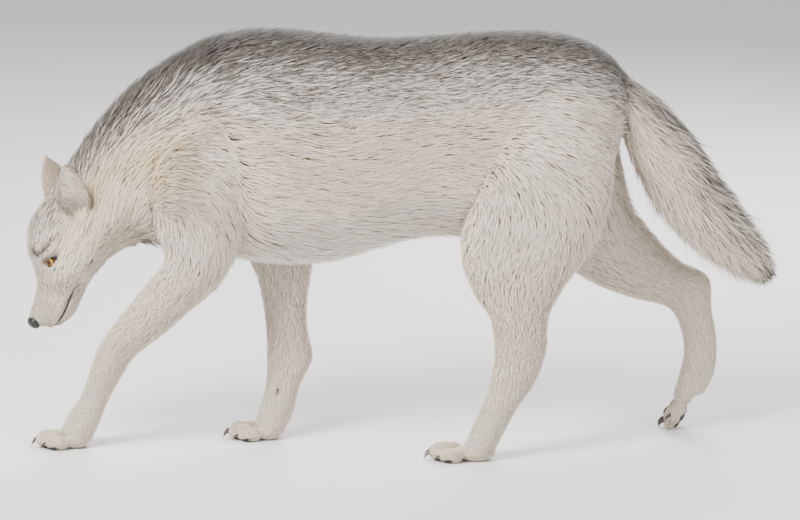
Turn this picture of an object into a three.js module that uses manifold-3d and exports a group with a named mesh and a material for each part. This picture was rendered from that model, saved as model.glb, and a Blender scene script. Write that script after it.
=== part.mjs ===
// A grey wolf at life size, walking with its head low: a still model in separate solids.
// Units are millimetres. +Z is up, the head points to -X, and the wolf's left side is -Y.
// Every outline runs along the tips of the coat. The origin is on the floor, under the middle of the model.
import * as THREE from "three";
import Module from "manifold-3d";

const wasm = await Module();
wasm.setup();

// ---- Driving dimensions -------------------------------------------------------------------------

const GAP = 0.4; // clearance between solids that meet
const HEAD_TURN = THREE.MathUtils.degToRad(13); // the head turns to its left
const HEAD_PIVOT_X = -585; // the upright axis that the head turns about
const EYE_RADIUS = 13.5;
const EAR_HEIGHT = 95;
const MOUTH_GAP = 1.6;
const SMALLEST_EDGE = 0.1; // slivers left by cuts are merged below this size

const LOOKS = {
  coat_back: { color: 0x8f8a80, roughness: 0.9 },
  coat_pale: { color: 0xd2cabc, roughness: 0.9 },
  eye: { color: 0xb98a2e, roughness: 0.12 },
  nose: { color: 0x1c1a1a, roughness: 0.45 },
  claw: { color: 0x2e2926, roughness: 0.5 },
};
const materials = Object.fromEntries(
  Object.entries(LOOKS).map(([slot, look]) => [
    slot,
    new THREE.MeshStandardMaterial({ name: slot, metalness: 0, ...look }),
  ]),
);

// ---- Lofts: rings between an upper and a lower outline ------------------------------------------

// A station is [name, x and z of the upper outline, x and z of the lower outline, half width, side place],
// and on the spine also the share by which its upper half is narrower.
const curveThrough = (points) =>
  new THREE.CatmullRomCurve3(points, false, "catmullrom", 0.5);

function outlineOf(stations, side = 1) {
  const rows = stations.map(([, ...sizes]) => sizes);
  return {
    last: rows.length - 1,
    upper: curveThrough(rows.map((r) => new THREE.Vector3(r[0], 0, r[1]))),
    lower: curveThrough(rows.map((r) => new THREE.Vector3(r[2], 0, r[3]))),
    across: curveThrough(rows.map((r) => new THREE.Vector3(r[4], side * r[5], r[6] ?? 0))),
  };
}

const stationNumber = (stations, name) => stations.findIndex(([n]) => n === name);

// One ring: a superellipse between the two outlines, in a plane that holds the Y axis.
function ring(outline, station, { segments, square, grow = 0 }) {
  const t = THREE.MathUtils.clamp(station / outline.last, 0, 1);
  const upper = outline.upper.getPoint(t);
  const lower = outline.lower.getPoint(t);
  const { x: halfWidth, y: side, z: narrower } = outline.across.getPoint(t);
  const middle = upper.clone().add(lower).multiplyScalar(0.5);
  const up = upper.clone().sub(lower);
  const halfHeight = up.length() / 2 + grow;
  up.normalize();
  const rounded = (v) => Math.sign(v) * Math.abs(v) ** (2 / square);
  return Array.from({ length: segments }, (_, k) => {
    const angle = (2 * Math.PI * k) / segments;
    const height = rounded(Math.cos(angle));
    const point = middle.clone().addScaledVector(up, halfHeight * height);
    const share = 1 - narrower * THREE.MathUtils.smoothstep(height, -0.6, 0.6);
    point.y = side + (halfWidth * share + grow) * rounded(Math.sin(angle));
    return point;
  });
}

function solidFrom(points, faces) {
  const make = (order) =>
    new wasm.Manifold(
      new wasm.Mesh({
        numProp: 3,
        vertProperties: new Float32Array(points.flatMap((p) => [p.x, p.y, p.z])),
        triVerts: new Uint32Array(order),
      }),
    );
  const made = make(faces);
  return made.volume() > 0 ? made : make(faces.toReversed());
}

const middleOf = (points) =>
  points.reduce((sum, p) => sum.add(p), new THREE.Vector3()).divideScalar(points.length);

// Moves the first and last ring of a grown solid away from the rest, so that its ends clear too.
function withLooseEnds(rings) {
  const pushed = (ring, next) => {
    const away = middleOf(ring).sub(middleOf(next)).setLength(GAP);
    return ring.map((point) => point.clone().add(away));
  };
  return [pushed(rings[0], rings[1]), ...rings.slice(1, -1), pushed(rings.at(-1), rings.at(-2))];
}

// Joins a row of rings, each a list of points, into one solid with closed ends.
function skinOver(rings) {
  const segments = rings[0].length;
  const points = [...rings.flat(), middleOf(rings[0]), middleOf(rings.at(-1))];
  const faces = [];
  rings.forEach((_, i) => {
    for (let k = 0; k < segments; k++) {
      const here = i * segments + k;
      const beside = i * segments + ((k + 1) % segments);
      if (i === 0) faces.push(points.length - 2, beside, here);
      if (i === rings.length - 1) faces.push(points.length - 1, here, beside);
      else faces.push(here, beside, beside + segments, here, beside + segments, here + segments);
    }
  });
  return solidFrom(points, faces);
}

const evenly = (from, to, count) =>
  Array.from({ length: count + 1 }, (_, i) => from + ((to - from) * i) / count);

// A solid from a three.js geometry, with the points of its seams and poles merged.
function solidOf(geometry) {
  const position = geometry.getAttribute("position");
  const index = geometry.index?.array ?? [...Array(position.count).keys()];
  const points = [];
  const numbers = new Map();
  const merged = Array.from({ length: position.count }, (_, i) => {
    const point = new THREE.Vector3().fromBufferAttribute(position, i);
    const key = point.toArray().map((v) => Math.round(v * 1000)).join();
    if (!numbers.has(key)) numbers.set(key, points.push(point) - 1);
    return numbers.get(key);
  });
  const faces = [];
  for (let i = 0; i < index.length; i += 3) {
    const corners = [0, 1, 2].map((k) => merged[index[i + k]]);
    if (new Set(corners).size === 3) faces.push(...corners);
  }
  return solidFrom(points, faces);
}

function ball(centre, radii, { across = 10, down = 8, tilt = 0 } = {}) {
  return solidOf(
    new THREE.SphereGeometry(1, across, down)
      .scale(...radii)
      .rotateY(tilt)
      .translate(...centre),
  );
}

// A slab over a drawn outline: points are [x, z], and it spans from y = -reach to y = +reach.
function slab(outline, reach) {
  const shape = new THREE.Shape(outline.map(([x, z]) => new THREE.Vector2(x, z)));
  const geometry = new THREE.ExtrudeGeometry(shape, { depth: 2 * reach, bevelEnabled: false });
  return solidOf(geometry.rotateX(Math.PI / 2).translate(0, reach, 0));
}

const union = (solids) => solids.reduce((sum, solid) => sum.add(solid));
const cutBy = (solid, cutters) => cutters.reduce((rest, cutter) => rest.subtract(cutter), solid);
const largest = (solid) => solid.decompose().sort((a, b) => b.volume() - a.volume())[0];
const underFloor = solidOf(new THREE.BoxGeometry(3000, 1000, 200).translate(0, 0, -100));

// ---- Trunk, neck and head: one pair of outlines from rump to nose -------------------------------

const SPINE = [
  ["buttock", 428, 668, 410, 596, 36, 0, 0],
  ["pin_bones", 408, 742, 385, 520, 84, 0, 0.05],
  ["hips", 350, 785, 322, 462, 110, 0, 0.08],
  ["croup", 270, 801, 240, 424, 115, 0, 0.1],
  ["loin", 160, 799, 148, 405, 111, 0, 0.1],
  ["waist", 60, 791, 55, 403, 112, 0, 0.1],
  ["flank", -40, 787, -35, 381, 124, 0, 0.1],
  ["ribs", -140, 796, -125, 356, 138, 0, 0.1],
  ["heart", -235, 802, -220, 354, 144, 0, 0.12],
  ["withers", -320, 795, -315, 368, 142, 0, 0.15],
  ["shoulders", -395, 760, -385, 378, 135, 0, 0.18],
  ["neck_base", -460, 720, -440, 384, 126, 0, 0.22],
  ["mid_neck", -514, 676, -492, 380, 118, 0, 0.28],
  ["upper_neck", -571, 616, -533, 359, 111, 0, 0.36],
  ["nape", -624, 549, -560, 335, 101, 0, 0.42],
  ["ears", -663, 492, -578, 316, 90, 0, 0.4],
  ["forehead", -691, 450, -590, 300, 74, 0, 0.26],
  ["brow", -702, 404, -597, 286, 59, 0, 0.14],
  ["eyes", -694, 358, -603, 273, 46, 0, 0.12],
  ["stop", -684, 322, -609, 261, 38, 0, 0.18],
  ["muzzle", -690, 289, -619, 250, 33, 0, 0.2],
  ["lips", -700, 259, -634, 241, 29, 0, 0.2],
  ["muzzle_end", -702, 240, -649, 236, 20, 0, 0.2],
];
const spine = outlineOf(SPINE);
const NECK_FROM = stationNumber(SPINE, "neck_base");
const HEAD_FROM = stationNumber(SPINE, "nape") + 0.4;
const TURN_TO = stationNumber(SPINE, "ears");

// Forms that swell out of the head or sink into it, on both sides: [name, x, y, z, reach, push].
const HEAD_FORMS = [
  ["cheek_ruff", -612, 92, 360, 48, 10],
  ["cheekbone", -642, 56, 344, 30, 9],
  ["brow_ridge", -690, 28, 396, 20, 5],
  ["eye_hollow", -674, 48, 364, 20, -9],
  ["upper_lip", -668, 32, 268, 22, 3],
];

// Turns a point of the head about the upright axis in the neck. share is 0 at the chest, 1 at the head.
function turned(point, share = 1) {
  const turn = HEAD_TURN * THREE.MathUtils.smoothstep(share, 0, 1);
  const pivot = new THREE.Vector3(HEAD_PIVOT_X, 0, 0);
  return point.clone().sub(pivot).applyAxisAngle(new THREE.Vector3(0, 0, 1), turn).add(pivot);
}

const turnedSolid = (solid) => {
  const turn = THREE.MathUtils.radToDeg(HEAD_TURN);
  return solid.translate([-HEAD_PIVOT_X, 0, 0]).rotate([0, 0, turn]).translate([HEAD_PIVOT_X, 0, 0]);
};

function shapedHead(points) {
  const middle = middleOf(points);
  return points.map((point) => {
    const out = point.clone().sub(middle).normalize();
    const moved = point.clone();
    for (const [, x, y, z, reach, push] of HEAD_FORMS) {
      const away = point.distanceTo(new THREE.Vector3(x, Math.sign(point.y) * y, z));
      moved.addScaledVector(out, push * Math.exp(-((away / reach) ** 2)));
    }
    return moved;
  });
}

function spineSolid(from, to, count, { segments = 22, grow = 0 } = {}) {
  const rings = evenly(from, to, count).map((station) => {
    const points = ring(spine, station, { segments, square: 2.2, grow });
    const share = (station - NECK_FROM) / (TURN_TO - NECK_FROM);
    return shapedHead(points).map((p) => turned(p, share));
  });
  return skinOver(grow ? withLooseEnds(rings) : rings);
}

// ---- Legs ---------------------------------------------------------------------------------------

// The upper outline of a leg is its front and the lower outline its back. Side places count outwards.
const LEGS = {
  left_foreleg: {
    side: -1,
    stations: [
      ["scapula", -405, 645, -340, 665, 26, 92],
      ["shoulder", -452, 548, -288, 568, 52, 95],
      ["upper_arm", -456, 455, -282, 458, 56, 91],
      ["elbow", -437, 380, -317, 350, 49, 84],
      ["forearm_top", -478, 322, -366, 297, 42, 76],
      ["forearm", -528, 258, -432, 236, 36, 66],
      ["wrist_top", -565, 204, -490, 188, 31, 54],
      ["wrist", -583, 154, -522, 140, 29, 44],
      ["pastern", -601, 104, -549, 88, 25, 36],
      ["knuckle", -628, 62, -566, 46, 30, 30],
      ["pad", -642, 30, -582, 10, 30, 28],
    ],
    joints: ["elbow", "wrist"],
    pieces: ["left_upper_foreleg", "left_forearm", "left_forepaw"],
    paw: { x: -612, y: -28, z: 0, pitch: 0, claws: "flat" },
    dewclaw: [[-577, -19, 104], [-582, -7, 99], [-583, -7, 88]],
  },
  right_foreleg: {
    side: 1,
    stations: [
      ["scapula", -385, 645, -320, 665, 26, 92],
      ["shoulder", -436, 548, -262, 566, 52, 95],
      ["upper_arm", -400, 452, -212, 466, 56, 91],
      ["elbow", -306, 376, -160, 378, 49, 84],
      ["forearm_top", -272, 320, -162, 318, 42, 76],
      ["forearm", -258, 262, -170, 256, 36, 68],
      ["wrist_top", -251, 208, -168, 203, 31, 58],
      ["wrist", -250, 160, -160, 156, 29, 50],
      ["pastern", -252, 106, -184, 104, 25, 44],
      ["knuckle", -264, 60, -198, 50, 30, 40],
      ["pad", -276, 30, -216, 10, 30, 38],
    ],
    joints: ["elbow", "wrist"],
    pieces: ["right_upper_foreleg", "right_forearm", "right_forepaw"],
    paw: { x: -248, y: 38, z: 0, pitch: 0, claws: "flat" },
    dewclaw: [[-226, 27, 104], [-229, 15, 99], [-230, 15, 88]],
  },
  left_hindleg: {
    side: -1,
    stations: [
      ["pelvis", 250, 690, 350, 700, 30, 72],
      ["upper_thigh", 180, 590, 411, 580, 60, 80],
      ["thigh", 136, 480, 402, 480, 58, 84],
      ["stifle", 118, 397, 366, 402, 51, 90],
      ["shin_top", 140, 322, 312, 320, 42, 98],
      ["shin", 172, 274, 288, 268, 35, 106],
      ["hock", 183, 218, 284, 208, 29, 112],
      ["hock_foot", 178, 162, 264, 150, 26, 117],
      ["cannon", 163, 112, 229, 98, 24, 121],
      ["knuckle", 142, 64, 202, 48, 29, 125],
      ["pad", 128, 30, 190, 10, 30, 127],
    ],
    joints: ["stifle", "hock"],
    pieces: ["left_thigh", "left_shank", "left_hindpaw"],
    paw: { x: 137, y: -127, z: 0, pitch: 0, claws: "flat" },
  },
  right_hindleg: {
    side: 1,
    stations: [
      ["pelvis", 260, 690, 360, 700, 30, 72],
      ["upper_thigh", 215, 590, 421, 590, 60, 80],
      ["thigh", 225, 480, 440, 500, 58, 84],
      ["stifle", 276, 372, 452, 446, 51, 90],
      ["shin_top", 362, 300, 492, 394, 42, 98],
      ["shin", 446, 264, 546, 337, 35, 105],
      ["hock", 520, 242, 601, 303, 29, 111],
      ["hock_foot", 547, 198, 608, 240, 26, 115],
      ["cannon", 554, 148, 620, 172, 24, 118],
      ["knuckle", 544, 98, 615, 110, 28, 120],
      ["pad", 534, 66, 596, 70, 26, 121],
    ],
    joints: ["stifle", "hock"],
    pieces: ["right_thigh", "right_shank", "right_hindpaw"],
    paw: { x: 572, y: 121, z: 61, pitch: THREE.MathUtils.degToRad(64), claws: "raised" },
  },
};
const LEG_SPLIT_BELOW = 0.45; // a joint's cut lies this far past its station
const LEG_SEAM = 0.006; // in stations, so that the pieces of a leg don't touch

// A toe is [name, place ahead of the pad, side place, half length, half width, half height].
const TOES = [
  ["inner_toe", 33, -29, 25, 11.5, 16],
  ["inner_middle_toe", 50, -11.5, 27, 12.5, 18],
  ["outer_middle_toe", 50, 11.5, 27, 12.5, 18],
  ["outer_toe", 33, 29, 25, 11.5, 16],
];
const TOE_SINK = 2.5; // toes reach this far under the sole before they are cut flat
const CLAW_RADIUS = 3.6;

// Moves a solid from a paw's own frame, origin under the pad and toes to -X, to where the paw stands.
function placedPaw(solid, { x, y, z, pitch }) {
  const matrix = new THREE.Matrix4().makeRotationY(-pitch).setPosition(x, y, z);
  return solid.transform(matrix.toArray());
}

function toeSolid([, ahead, side, ...radii], grow = 0) {
  const height = radii[2] - TOE_SINK;
  return ball([-ahead, side, height], radii.map((r) => r + grow), { across: 7, down: 5 });
}

// A claw bends from its root, through a point, to its tip.
function hornSolid(points, radius) {
  const line = new THREE.QuadraticBezierCurve3(...points.map((p) => new THREE.Vector3(...p)));
  const rings = [0, 0.55, 1].map((t) => {
    const along = line.getTangent(t);
    const up = new THREE.Vector3(-along.z, 0, along.x).normalize();
    const beside = up.clone().cross(along);
    const thickness = radius * (1 - 0.82 * t);
    return evenly(0, 2 * Math.PI, 5).slice(1).map((angle) =>
      line
        .getPoint(t)
        .addScaledVector(up, 1.2 * thickness * Math.cos(angle))
        .addScaledVector(beside, 0.8 * thickness * Math.sin(angle)),
    );
  });
  return skinOver(rings);
}

// Where a toe's claw runs: how far behind the toe's tip, and how high in shares of the toe's half height.
const CLAW_LINES = {
  flat: [[12, 0.9], [-4.4, 1.02], [-8, 0.13]],
  raised: [[15, 1.6], [4, 2.15], [-3, 1.75]],
};

function clawSolid([, ahead, side, length, , height], line) {
  const points = line.map(([behind, share]) => [behind - ahead - length, side, height * share]);
  return hornSolid(points, CLAW_RADIUS);
}

// The pieces of one leg, with its claws, as [name, solid, slot] rows.
function legPieces(leg) {
  const outline = outlineOf(leg.stations, leg.side);
  const loft = (from, to, count, grow = 0) => {
    const rings = evenly(from, to, count).map((station) =>
      ring(outline, station, { segments: 12, square: 2.1, grow }),
    );
    return skinOver(grow ? withLooseEnds(rings) : rings);
  };
  const [upperEnd, lowerEnd] = leg.joints.map(
    (name) => stationNumber(leg.stations, name) + LEG_SPLIT_BELOW,
  );
  const upper = (grow) => loft(0, upperEnd, 7, grow);
  const lower = (grow) => loft(upperEnd + LEG_SEAM, lowerEnd, 7, grow);
  const foot = (grow) => loft(lowerEnd + LEG_SEAM, outline.last, 5, grow);
  const place = (solid) => placedPaw(solid, leg.paw);
  const toes = (grow) => TOES.map((toe) => place(toeSolid(toe, grow)));
  const pad = place(ball([0, 0, 15], [29, 31, 18], { across: 8, down: 5 }));
  const paw = cutBy(union([foot(), pad, ...toes()]), [underFloor]);
  const clawHollows = [foot(GAP), ...toes(GAP), underFloor];
  const claws = TOES.map((toe) => place(clawSolid(toe, CLAW_LINES[leg.paw.claws])));
  if (leg.dewclaw) claws.push(hornSolid(leg.dewclaw, CLAW_RADIUS * 0.85));
  const [upperName, lowerName, pawName] = leg.pieces;
  const clawNames = [...TOES.map(([toe]) => toe), "dewclaw"];
  return {
    hollows: [upper(GAP), lower(GAP)],
    rows: [
      [upperName, upper(), "coat_back"],
      [lowerName, lower(), "coat_pale"],
      [pawName, paw, "coat_pale"],
      ...claws.map((claw, i) => [
        `${pawName}_${clawNames[i]}`.replace(/toe$/, "claw"),
        cutBy(claw, clawHollows),
        "claw",
      ]),
    ],
  };
}

// ---- Tail ---------------------------------------------------------------------------------------

const TAIL = [
  ["root", 424, 738, 386, 655, 44, 0],
  ["dock", 480, 702, 400, 603, 60, 0],
  ["upper_tail", 540, 646, 428, 549, 71, 0],
  ["brush", 597, 552, 483, 457, 74, 0],
  ["lower_brush", 640, 471, 553, 398, 60, 0],
  ["taper", 680, 405, 623, 358, 38, 0],
  ["tip_fur", 703, 352, 682, 331, 15, 0],
  ["tip", 712, 314, 708, 312, 3, 0],
];
const tailOutline = outlineOf(TAIL);
const tailSolid = (grow = 0) => {
  const rings = evenly(0, tailOutline.last, 13).map((station) =>
    ring(tailOutline, station, { segments: 14, square: 2, grow }),
  );
  return skinOver(grow ? withLooseEnds(rings) : rings);
};

// ---- Ears, eyes, nose and jaw, in the frame of the head before it turns --------------------------

const headHollow = spineSolid(NECK_FROM, spine.last, 30, { grow: GAP });

const EARS = {
  left: { side: -1, lean: 0.22, rootHeight: 466 },
  right: { side: 1, lean: 0.37, rootHeight: 456 },
};

// An ear's rings are crescents: the back of the ear, then the hollow of it. Its root tucks into the head.
function earSolid({ side, lean, rootHeight }) {
  const base = new THREE.Vector3(-618, side * 70, rootHeight);
  const axis = new THREE.Vector3(-lean, side * 0.14, 0.96).normalize();
  const opening = new THREE.Vector3(-0.42, side * 0.9, 0.05).normalize();
  const across = axis.clone().cross(opening).normalize();
  const rings = evenly(-0.2, 1, 6).map((u) => {
    const rooted = THREE.MathUtils.smoothstep(u, -0.2, 0.3);
    const narrowing = (1 - Math.max(u, 0) ** 2.4) ** 0.8 * (0.6 + 0.4 * rooted);
    const halfWidth = 34.5 * narrowing + 1.5;
    const depth = 24 * (1 - Math.max(u, 0)) ** 0.8 + 1.5;
    const wall = Math.min(6, depth * 0.5);
    const crescent = (angle, inwards) =>
      base
        .clone()
        .addScaledVector(axis, u * EAR_HEIGHT)
        .addScaledVector(across, (halfWidth - inwards) * Math.sin(angle))
        .addScaledVector(opening, -(depth - inwards * 1.2) * Math.cos(angle) - 26 * (1 - rooted));
    const sweep = evenly(-Math.PI / 2, Math.PI / 2, 5);
    return [
      ...sweep.map((angle) => crescent(angle, 0)),
      ...sweep.toReversed().map((angle) => crescent(angle, wall)),
    ];
  });
  return largest(cutBy(turnedSolid(skinOver(rings)), [headHollow]));
}

const eyeSolid = (side, grow = 0) => {
  const radius = EYE_RADIUS + grow;
  return turnedSolid(ball([-661.6, side * 36.8, 369.8], [radius, radius, radius], { across: 10, down: 7 }));
};

function noseSolid(grow = 0) {
  const leather = ball([-690, 0, 244], [13 + grow, 18 + grow, 14 + grow], { across: 12, down: 7 });
  const nostrils = [-1, 1].map((side) =>
    ball([-700, side * 8, 231], [4.5, 3.4, 5], { across: 7, down: 5 }),
  );
  return turnedSolid(grow ? leather : cutBy(leather, nostrils));
}

const MOUTH_LINE = [
  [-654, 205],
  [-650, 238],
  [-644, 264],
  [-636, 290],
  [-622, 318],
];
const jawSlab = (shift) =>
  turnedSolid(
    slab([...MOUTH_LINE.map(([x, z]) => [x - shift, z]), [-594, 318 + shift], [-560, 290], [-600, 205]], 120),
  );

// ---- The whole wolf -----------------------------------------------------------------------------

const legs = Object.values(LEGS).map(legPieces);
const legHollows = legs.flatMap((leg) => leg.hollows);
const tailHollow = tailSolid(GAP);
const SPINE_SEAM = 0.012;

const wholeHead = spineSolid(HEAD_FROM + SPINE_SEAM, spine.last, 20);
const head = cutBy(wholeHead, [
  jawSlab(MOUTH_GAP),
  noseSolid(GAP),
  ...[-1, 1].map((side) => eyeSolid(side, GAP)),
]);
const lowerJaw = cutBy(wholeHead.intersect(jawSlab(0)), [noseSolid(GAP)]);
const neck = cutBy(spineSolid(NECK_FROM + SPINE_SEAM, HEAD_FROM, 6), legHollows);
const trunk = cutBy(spineSolid(0, NECK_FROM, 15), [...legHollows, tailHollow]);

const pieces = [
  ["trunk", trunk, "coat_back"],
  ["neck", neck, "coat_back"],
  ["head", head, "coat_back"],
  ["lower_jaw", lowerJaw, "coat_pale"],
  ["nose", noseSolid(), "nose"],
  ["left_eye", eyeSolid(-1), "eye"],
  ["right_eye", eyeSolid(1), "eye"],
  ["left_ear", earSolid(EARS.left), "coat_back"],
  ["right_ear", earSolid(EARS.right), "coat_back"],
  ["tail", tailSolid(), "coat_back"],
  ...legs.flatMap((leg) => leg.rows),
].map(([name, solid, slot]) => [name, largest(solid.simplify(SMALLEST_EDGE)), slot]);

const bounds = pieces.reduce((box, [, solid]) => {
  const { min, max } = solid.boundingBox();
  return box.expandByPoint(new THREE.Vector3(...min)).expandByPoint(new THREE.Vector3(...max));
}, new THREE.Box3());
const middle = bounds.getCenter(new THREE.Vector3()).setZ(0);

// Each mesh hangs in the group at the middle of its own solid.
function meshOf([name, solid, slot]) {
  const { min, max } = solid.boundingBox();
  const centre = new THREE.Vector3(...min).add(new THREE.Vector3(...max)).multiplyScalar(0.5);
  const { vertProperties, triVerts } = solid.translate(centre.clone().negate().toArray()).getMesh();
  const geometry = new THREE.BufferGeometry();
  geometry.setAttribute("position", new THREE.BufferAttribute(vertProperties, 3));
  geometry.setIndex(new THREE.BufferAttribute(triVerts, 1));
  geometry.computeVertexNormals();
  const mesh = new THREE.Mesh(geometry, materials[slot]);
  mesh.name = name;
  mesh.position.copy(centre);
  return mesh;
}

const wolf = new THREE.Group();
wolf.position.copy(middle).negate();
wolf.add(...pieces.map(meshOf));

export default wolf;
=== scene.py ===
"""A grey wolf at life size, walking with its head low: skin, coat, eyes, nose, lips, claws and pads.

Everything is in metres in the frame of the solids: +Z up, the head to -X, the wolf's left side to -Y.
"""

import bpy
import numpy as np
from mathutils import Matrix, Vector


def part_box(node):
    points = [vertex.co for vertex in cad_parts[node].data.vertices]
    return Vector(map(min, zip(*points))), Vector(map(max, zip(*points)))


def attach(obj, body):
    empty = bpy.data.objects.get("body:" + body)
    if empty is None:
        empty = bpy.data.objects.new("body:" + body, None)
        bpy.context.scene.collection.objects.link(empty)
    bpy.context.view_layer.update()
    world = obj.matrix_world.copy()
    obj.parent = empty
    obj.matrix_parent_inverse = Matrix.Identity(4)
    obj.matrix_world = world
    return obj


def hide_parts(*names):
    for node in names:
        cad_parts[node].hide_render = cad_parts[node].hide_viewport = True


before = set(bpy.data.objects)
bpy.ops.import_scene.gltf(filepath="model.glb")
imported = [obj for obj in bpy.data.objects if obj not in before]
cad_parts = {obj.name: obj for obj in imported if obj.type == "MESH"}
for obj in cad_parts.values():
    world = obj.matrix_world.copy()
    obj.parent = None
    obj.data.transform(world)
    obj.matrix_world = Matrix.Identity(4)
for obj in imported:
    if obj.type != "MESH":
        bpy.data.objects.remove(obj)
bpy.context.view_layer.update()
chance = np.random.default_rng(20)

# ---- Skin: the body's form ----
# One closed skin from nose to tail and paws, as a mount's hide over its form. It lies under the solids
# by the depth of the coat. Rings lofted along the body, tail and legs are melted into one surface.
MM = 0.001
TO_MODEL = np.array((-4.7387, 3.0, 0.0))  # mm, from the origin of the outlines to the model's own
HEAD_TURN = np.radians(13)  # to the wolf's left
HEAD_PIVOT = np.array((-585.0, 0.0, 0.0))

# Stations: x and z of the upper outline, x and z of the lower one, half width, side place, the share
# by which the upper half is narrower, then the coat's depth on top, on the side and underneath (mm).
SPINE = {
    "buttock": (428, 668, 410, 596, 36, 0, 0, 18, 16, 18),
    "pin_bones": (408, 742, 385, 520, 84, 0, 0.05, 20, 17, 16),
    "hips": (350, 785, 322, 462, 110, 0, 0.08, 20, 17, 18),
    "croup": (270, 801, 240, 424, 115, 0, 0.1, 20, 17, 20),
    "loin": (160, 799, 148, 405, 111, 0, 0.1, 20, 17, 22),
    "waist": (60, 791, 55, 403, 112, 0, 0.1, 20, 17, 24),
    "flank": (-40, 787, -35, 381, 124, 0, 0.1, 20, 18, 24),
    "ribs": (-140, 796, -125, 356, 138, 0, 0.1, 22, 20, 24),
    "heart": (-235, 802, -220, 354, 144, 0, 0.12, 26, 22, 26),
    "withers": (-320, 795, -315, 368, 142, 0, 0.15, 32, 26, 30),
    "shoulders": (-395, 760, -385, 378, 135, 0, 0.18, 36, 32, 38),
    "neck_base": (-460, 720, -440, 384, 126, 0, 0.22, 40, 38, 46),
    "mid_neck": (-514, 676, -492, 380, 118, 0, 0.28, 42, 40, 48),
    "upper_neck": (-571, 616, -533, 359, 111, 0, 0.36, 40, 36, 44),
    "nape": (-624, 549, -560, 335, 101, 0, 0.42, 30, 30, 34),
    "ears": (-663, 492, -578, 316, 90, 0, 0.4, 17, 22, 22),
    "forehead": (-691, 450, -590, 300, 74, 0, 0.26, 9, 17, 13),
    "brow": (-702, 404, -597, 286, 59, 0, 0.14, 6, 10, 8),
    "eyes": (-694, 358, -603, 273, 46, 0, 0.12, 4.5, 5.5, 6),
    "stop": (-684, 322, -609, 261, 38, 0, 0.18, 3.5, 4.5, 5),
    "muzzle": (-690, 289, -619, 250, 33, 0, 0.2, 3, 4, 4),
    "lips": (-700, 259, -634, 241, 29, 0, 0.2, 2.5, 3, 3),
    "muzzle_end": (-702, 240, -649, 236, 20, 0, 0.2, 2, 2.5, 2),
}
# Forms that swell out of the head or sink into it, on both sides: x, y, z, reach and push (mm).
HEAD_FORMS = {
    "cheek_ruff": (-612, 92, 360, 48, 10),
    "cheekbone": (-642, 56, 344, 30, 9),
    "brow_ridge": (-690, 28, 396, 20, 5),
    "eye_hollow": (-674, 48, 364, 20, -4),
    "upper_lip": (-668, 32, 268, 22, 3),
}
SPINE_END, TAIL_END, LEG_END = 22, 6, 10  # the last station's number
SPINE_RING, TAIL_RING, LEG_RING = 128, 48, 64  # points round each ring
SPINE_SQUARE, TAIL_SQUARE, LEG_SQUARE = 2.2, 2.0, 2.1  # the rings' powers, where 2 is an ellipse


def full_turn(count):
    """Angles of count even steps round a ring."""
    return np.linspace(0, 2 * np.pi, count, endpoint=False)


def smooth_step(value, low, high):
    """0 below low, 1 above high, and 3t^2 - 2t^3 between."""
    t = np.clip((value - low) / (high - low), 0, 1)
    return t * t * (3 - 2 * t)


def bell(distance, reach):
    """exp(-(distance / reach)^2): 1 in the middle, and next to nothing at twice the reach."""
    return np.exp(-((distance / reach) ** 2))


def signed_power(value, power):
    """The value's size raised to the power, with its own sign."""
    return np.sign(value) * np.abs(value) ** power


def unit(vectors):
    """Each vector over its own length."""
    return vectors / np.maximum(np.linalg.norm(vectors, axis=-1, keepdims=True), 1e-9)


def curve_through(stations, places):
    """Catmull-Rom: cubics whose slope at a station is half the step between its neighbours."""
    rows = np.array(list(stations.values()), float)
    rows = np.vstack([2 * rows[0] - rows[1], rows, 2 * rows[-1] - rows[-2]])
    number = np.clip(np.floor(places).astype(int), 0, len(rows) - 4)
    t = (places - number)[:, None]
    before, here, there, after = (rows[number + k] for k in range(4))
    slope_here, slope_there = (there - before) / 2, (after - here) / 2
    return (
        (2 * here - 2 * there + slope_here + slope_there) * t**3
        + (3 * there - 3 * here - 2 * slope_here - slope_there) * t**2
        + slope_here * t
        + here
    )


def ring_grid(stations, places, segments, square, side=1.0):
    """Rings between the upper and lower outline: a superellipse of the angle, less the coat's depth."""
    rows = curve_through(stations, places)
    upper, lower, half, across, narrower = rows[:, 0:2], rows[:, 2:4], rows[:, 4], rows[:, 5], rows[:, 6]
    top, flank, under = rows[:, 7:10].T
    up = unit(upper - lower)
    upper, lower = upper - up * top[:, None], lower + up * under[:, None]
    level, out = (signed_power(wave(full_turn(segments)), 2 / square) for wave in (np.cos, np.sin))
    middle = (upper + lower) / 2
    reach = np.linalg.norm(upper - lower, axis=1) / 2
    share = 1 - narrower[:, None] * smooth_step(level, -0.6, 0.6)
    x = middle[:, :1] + up[:, :1] * reach[:, None] * level
    z = middle[:, 1:] + up[:, 1:] * reach[:, None] * level
    y = side * across[:, None] + (half[:, None] * share - flank[:, None]) * out
    return np.stack([x, y, z], -1)


def spun(points, first, second, angle):
    """Two of the coordinates, a and b, turned by an angle: a cos - b sin and a sin + b cos."""
    rows = list(np.moveaxis(points, -1, 0))
    a, b = rows[first], rows[second]
    rows[first] = a * np.cos(angle) - b * np.sin(angle)
    rows[second] = a * np.sin(angle) + b * np.cos(angle)
    return np.stack(rows, -1)


def turned(points, share=1.0):
    """Turns points about the upright axis in the neck by a share of the head's turn."""
    return spun(points - HEAD_PIVOT, 0, 1, HEAD_TURN * smooth_step(share, 0, 1)) + HEAD_PIVOT


def away_from(points, x, y, z):
    """How far each point is from a place, or from the place's mirror image on the other side."""
    apart = np.stack([points[..., 0] - x, np.abs(points[..., 1]) - y, points[..., 2] - z])
    return np.linalg.norm(apart, axis=0)


def swell(points, forms):
    """How far the forms push each point: the sum of push * exp(-(distance / reach)^2)."""
    return sum(push * bell(away_from(points, x, y, z), reach) for x, y, z, reach, push in forms.values())


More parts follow.
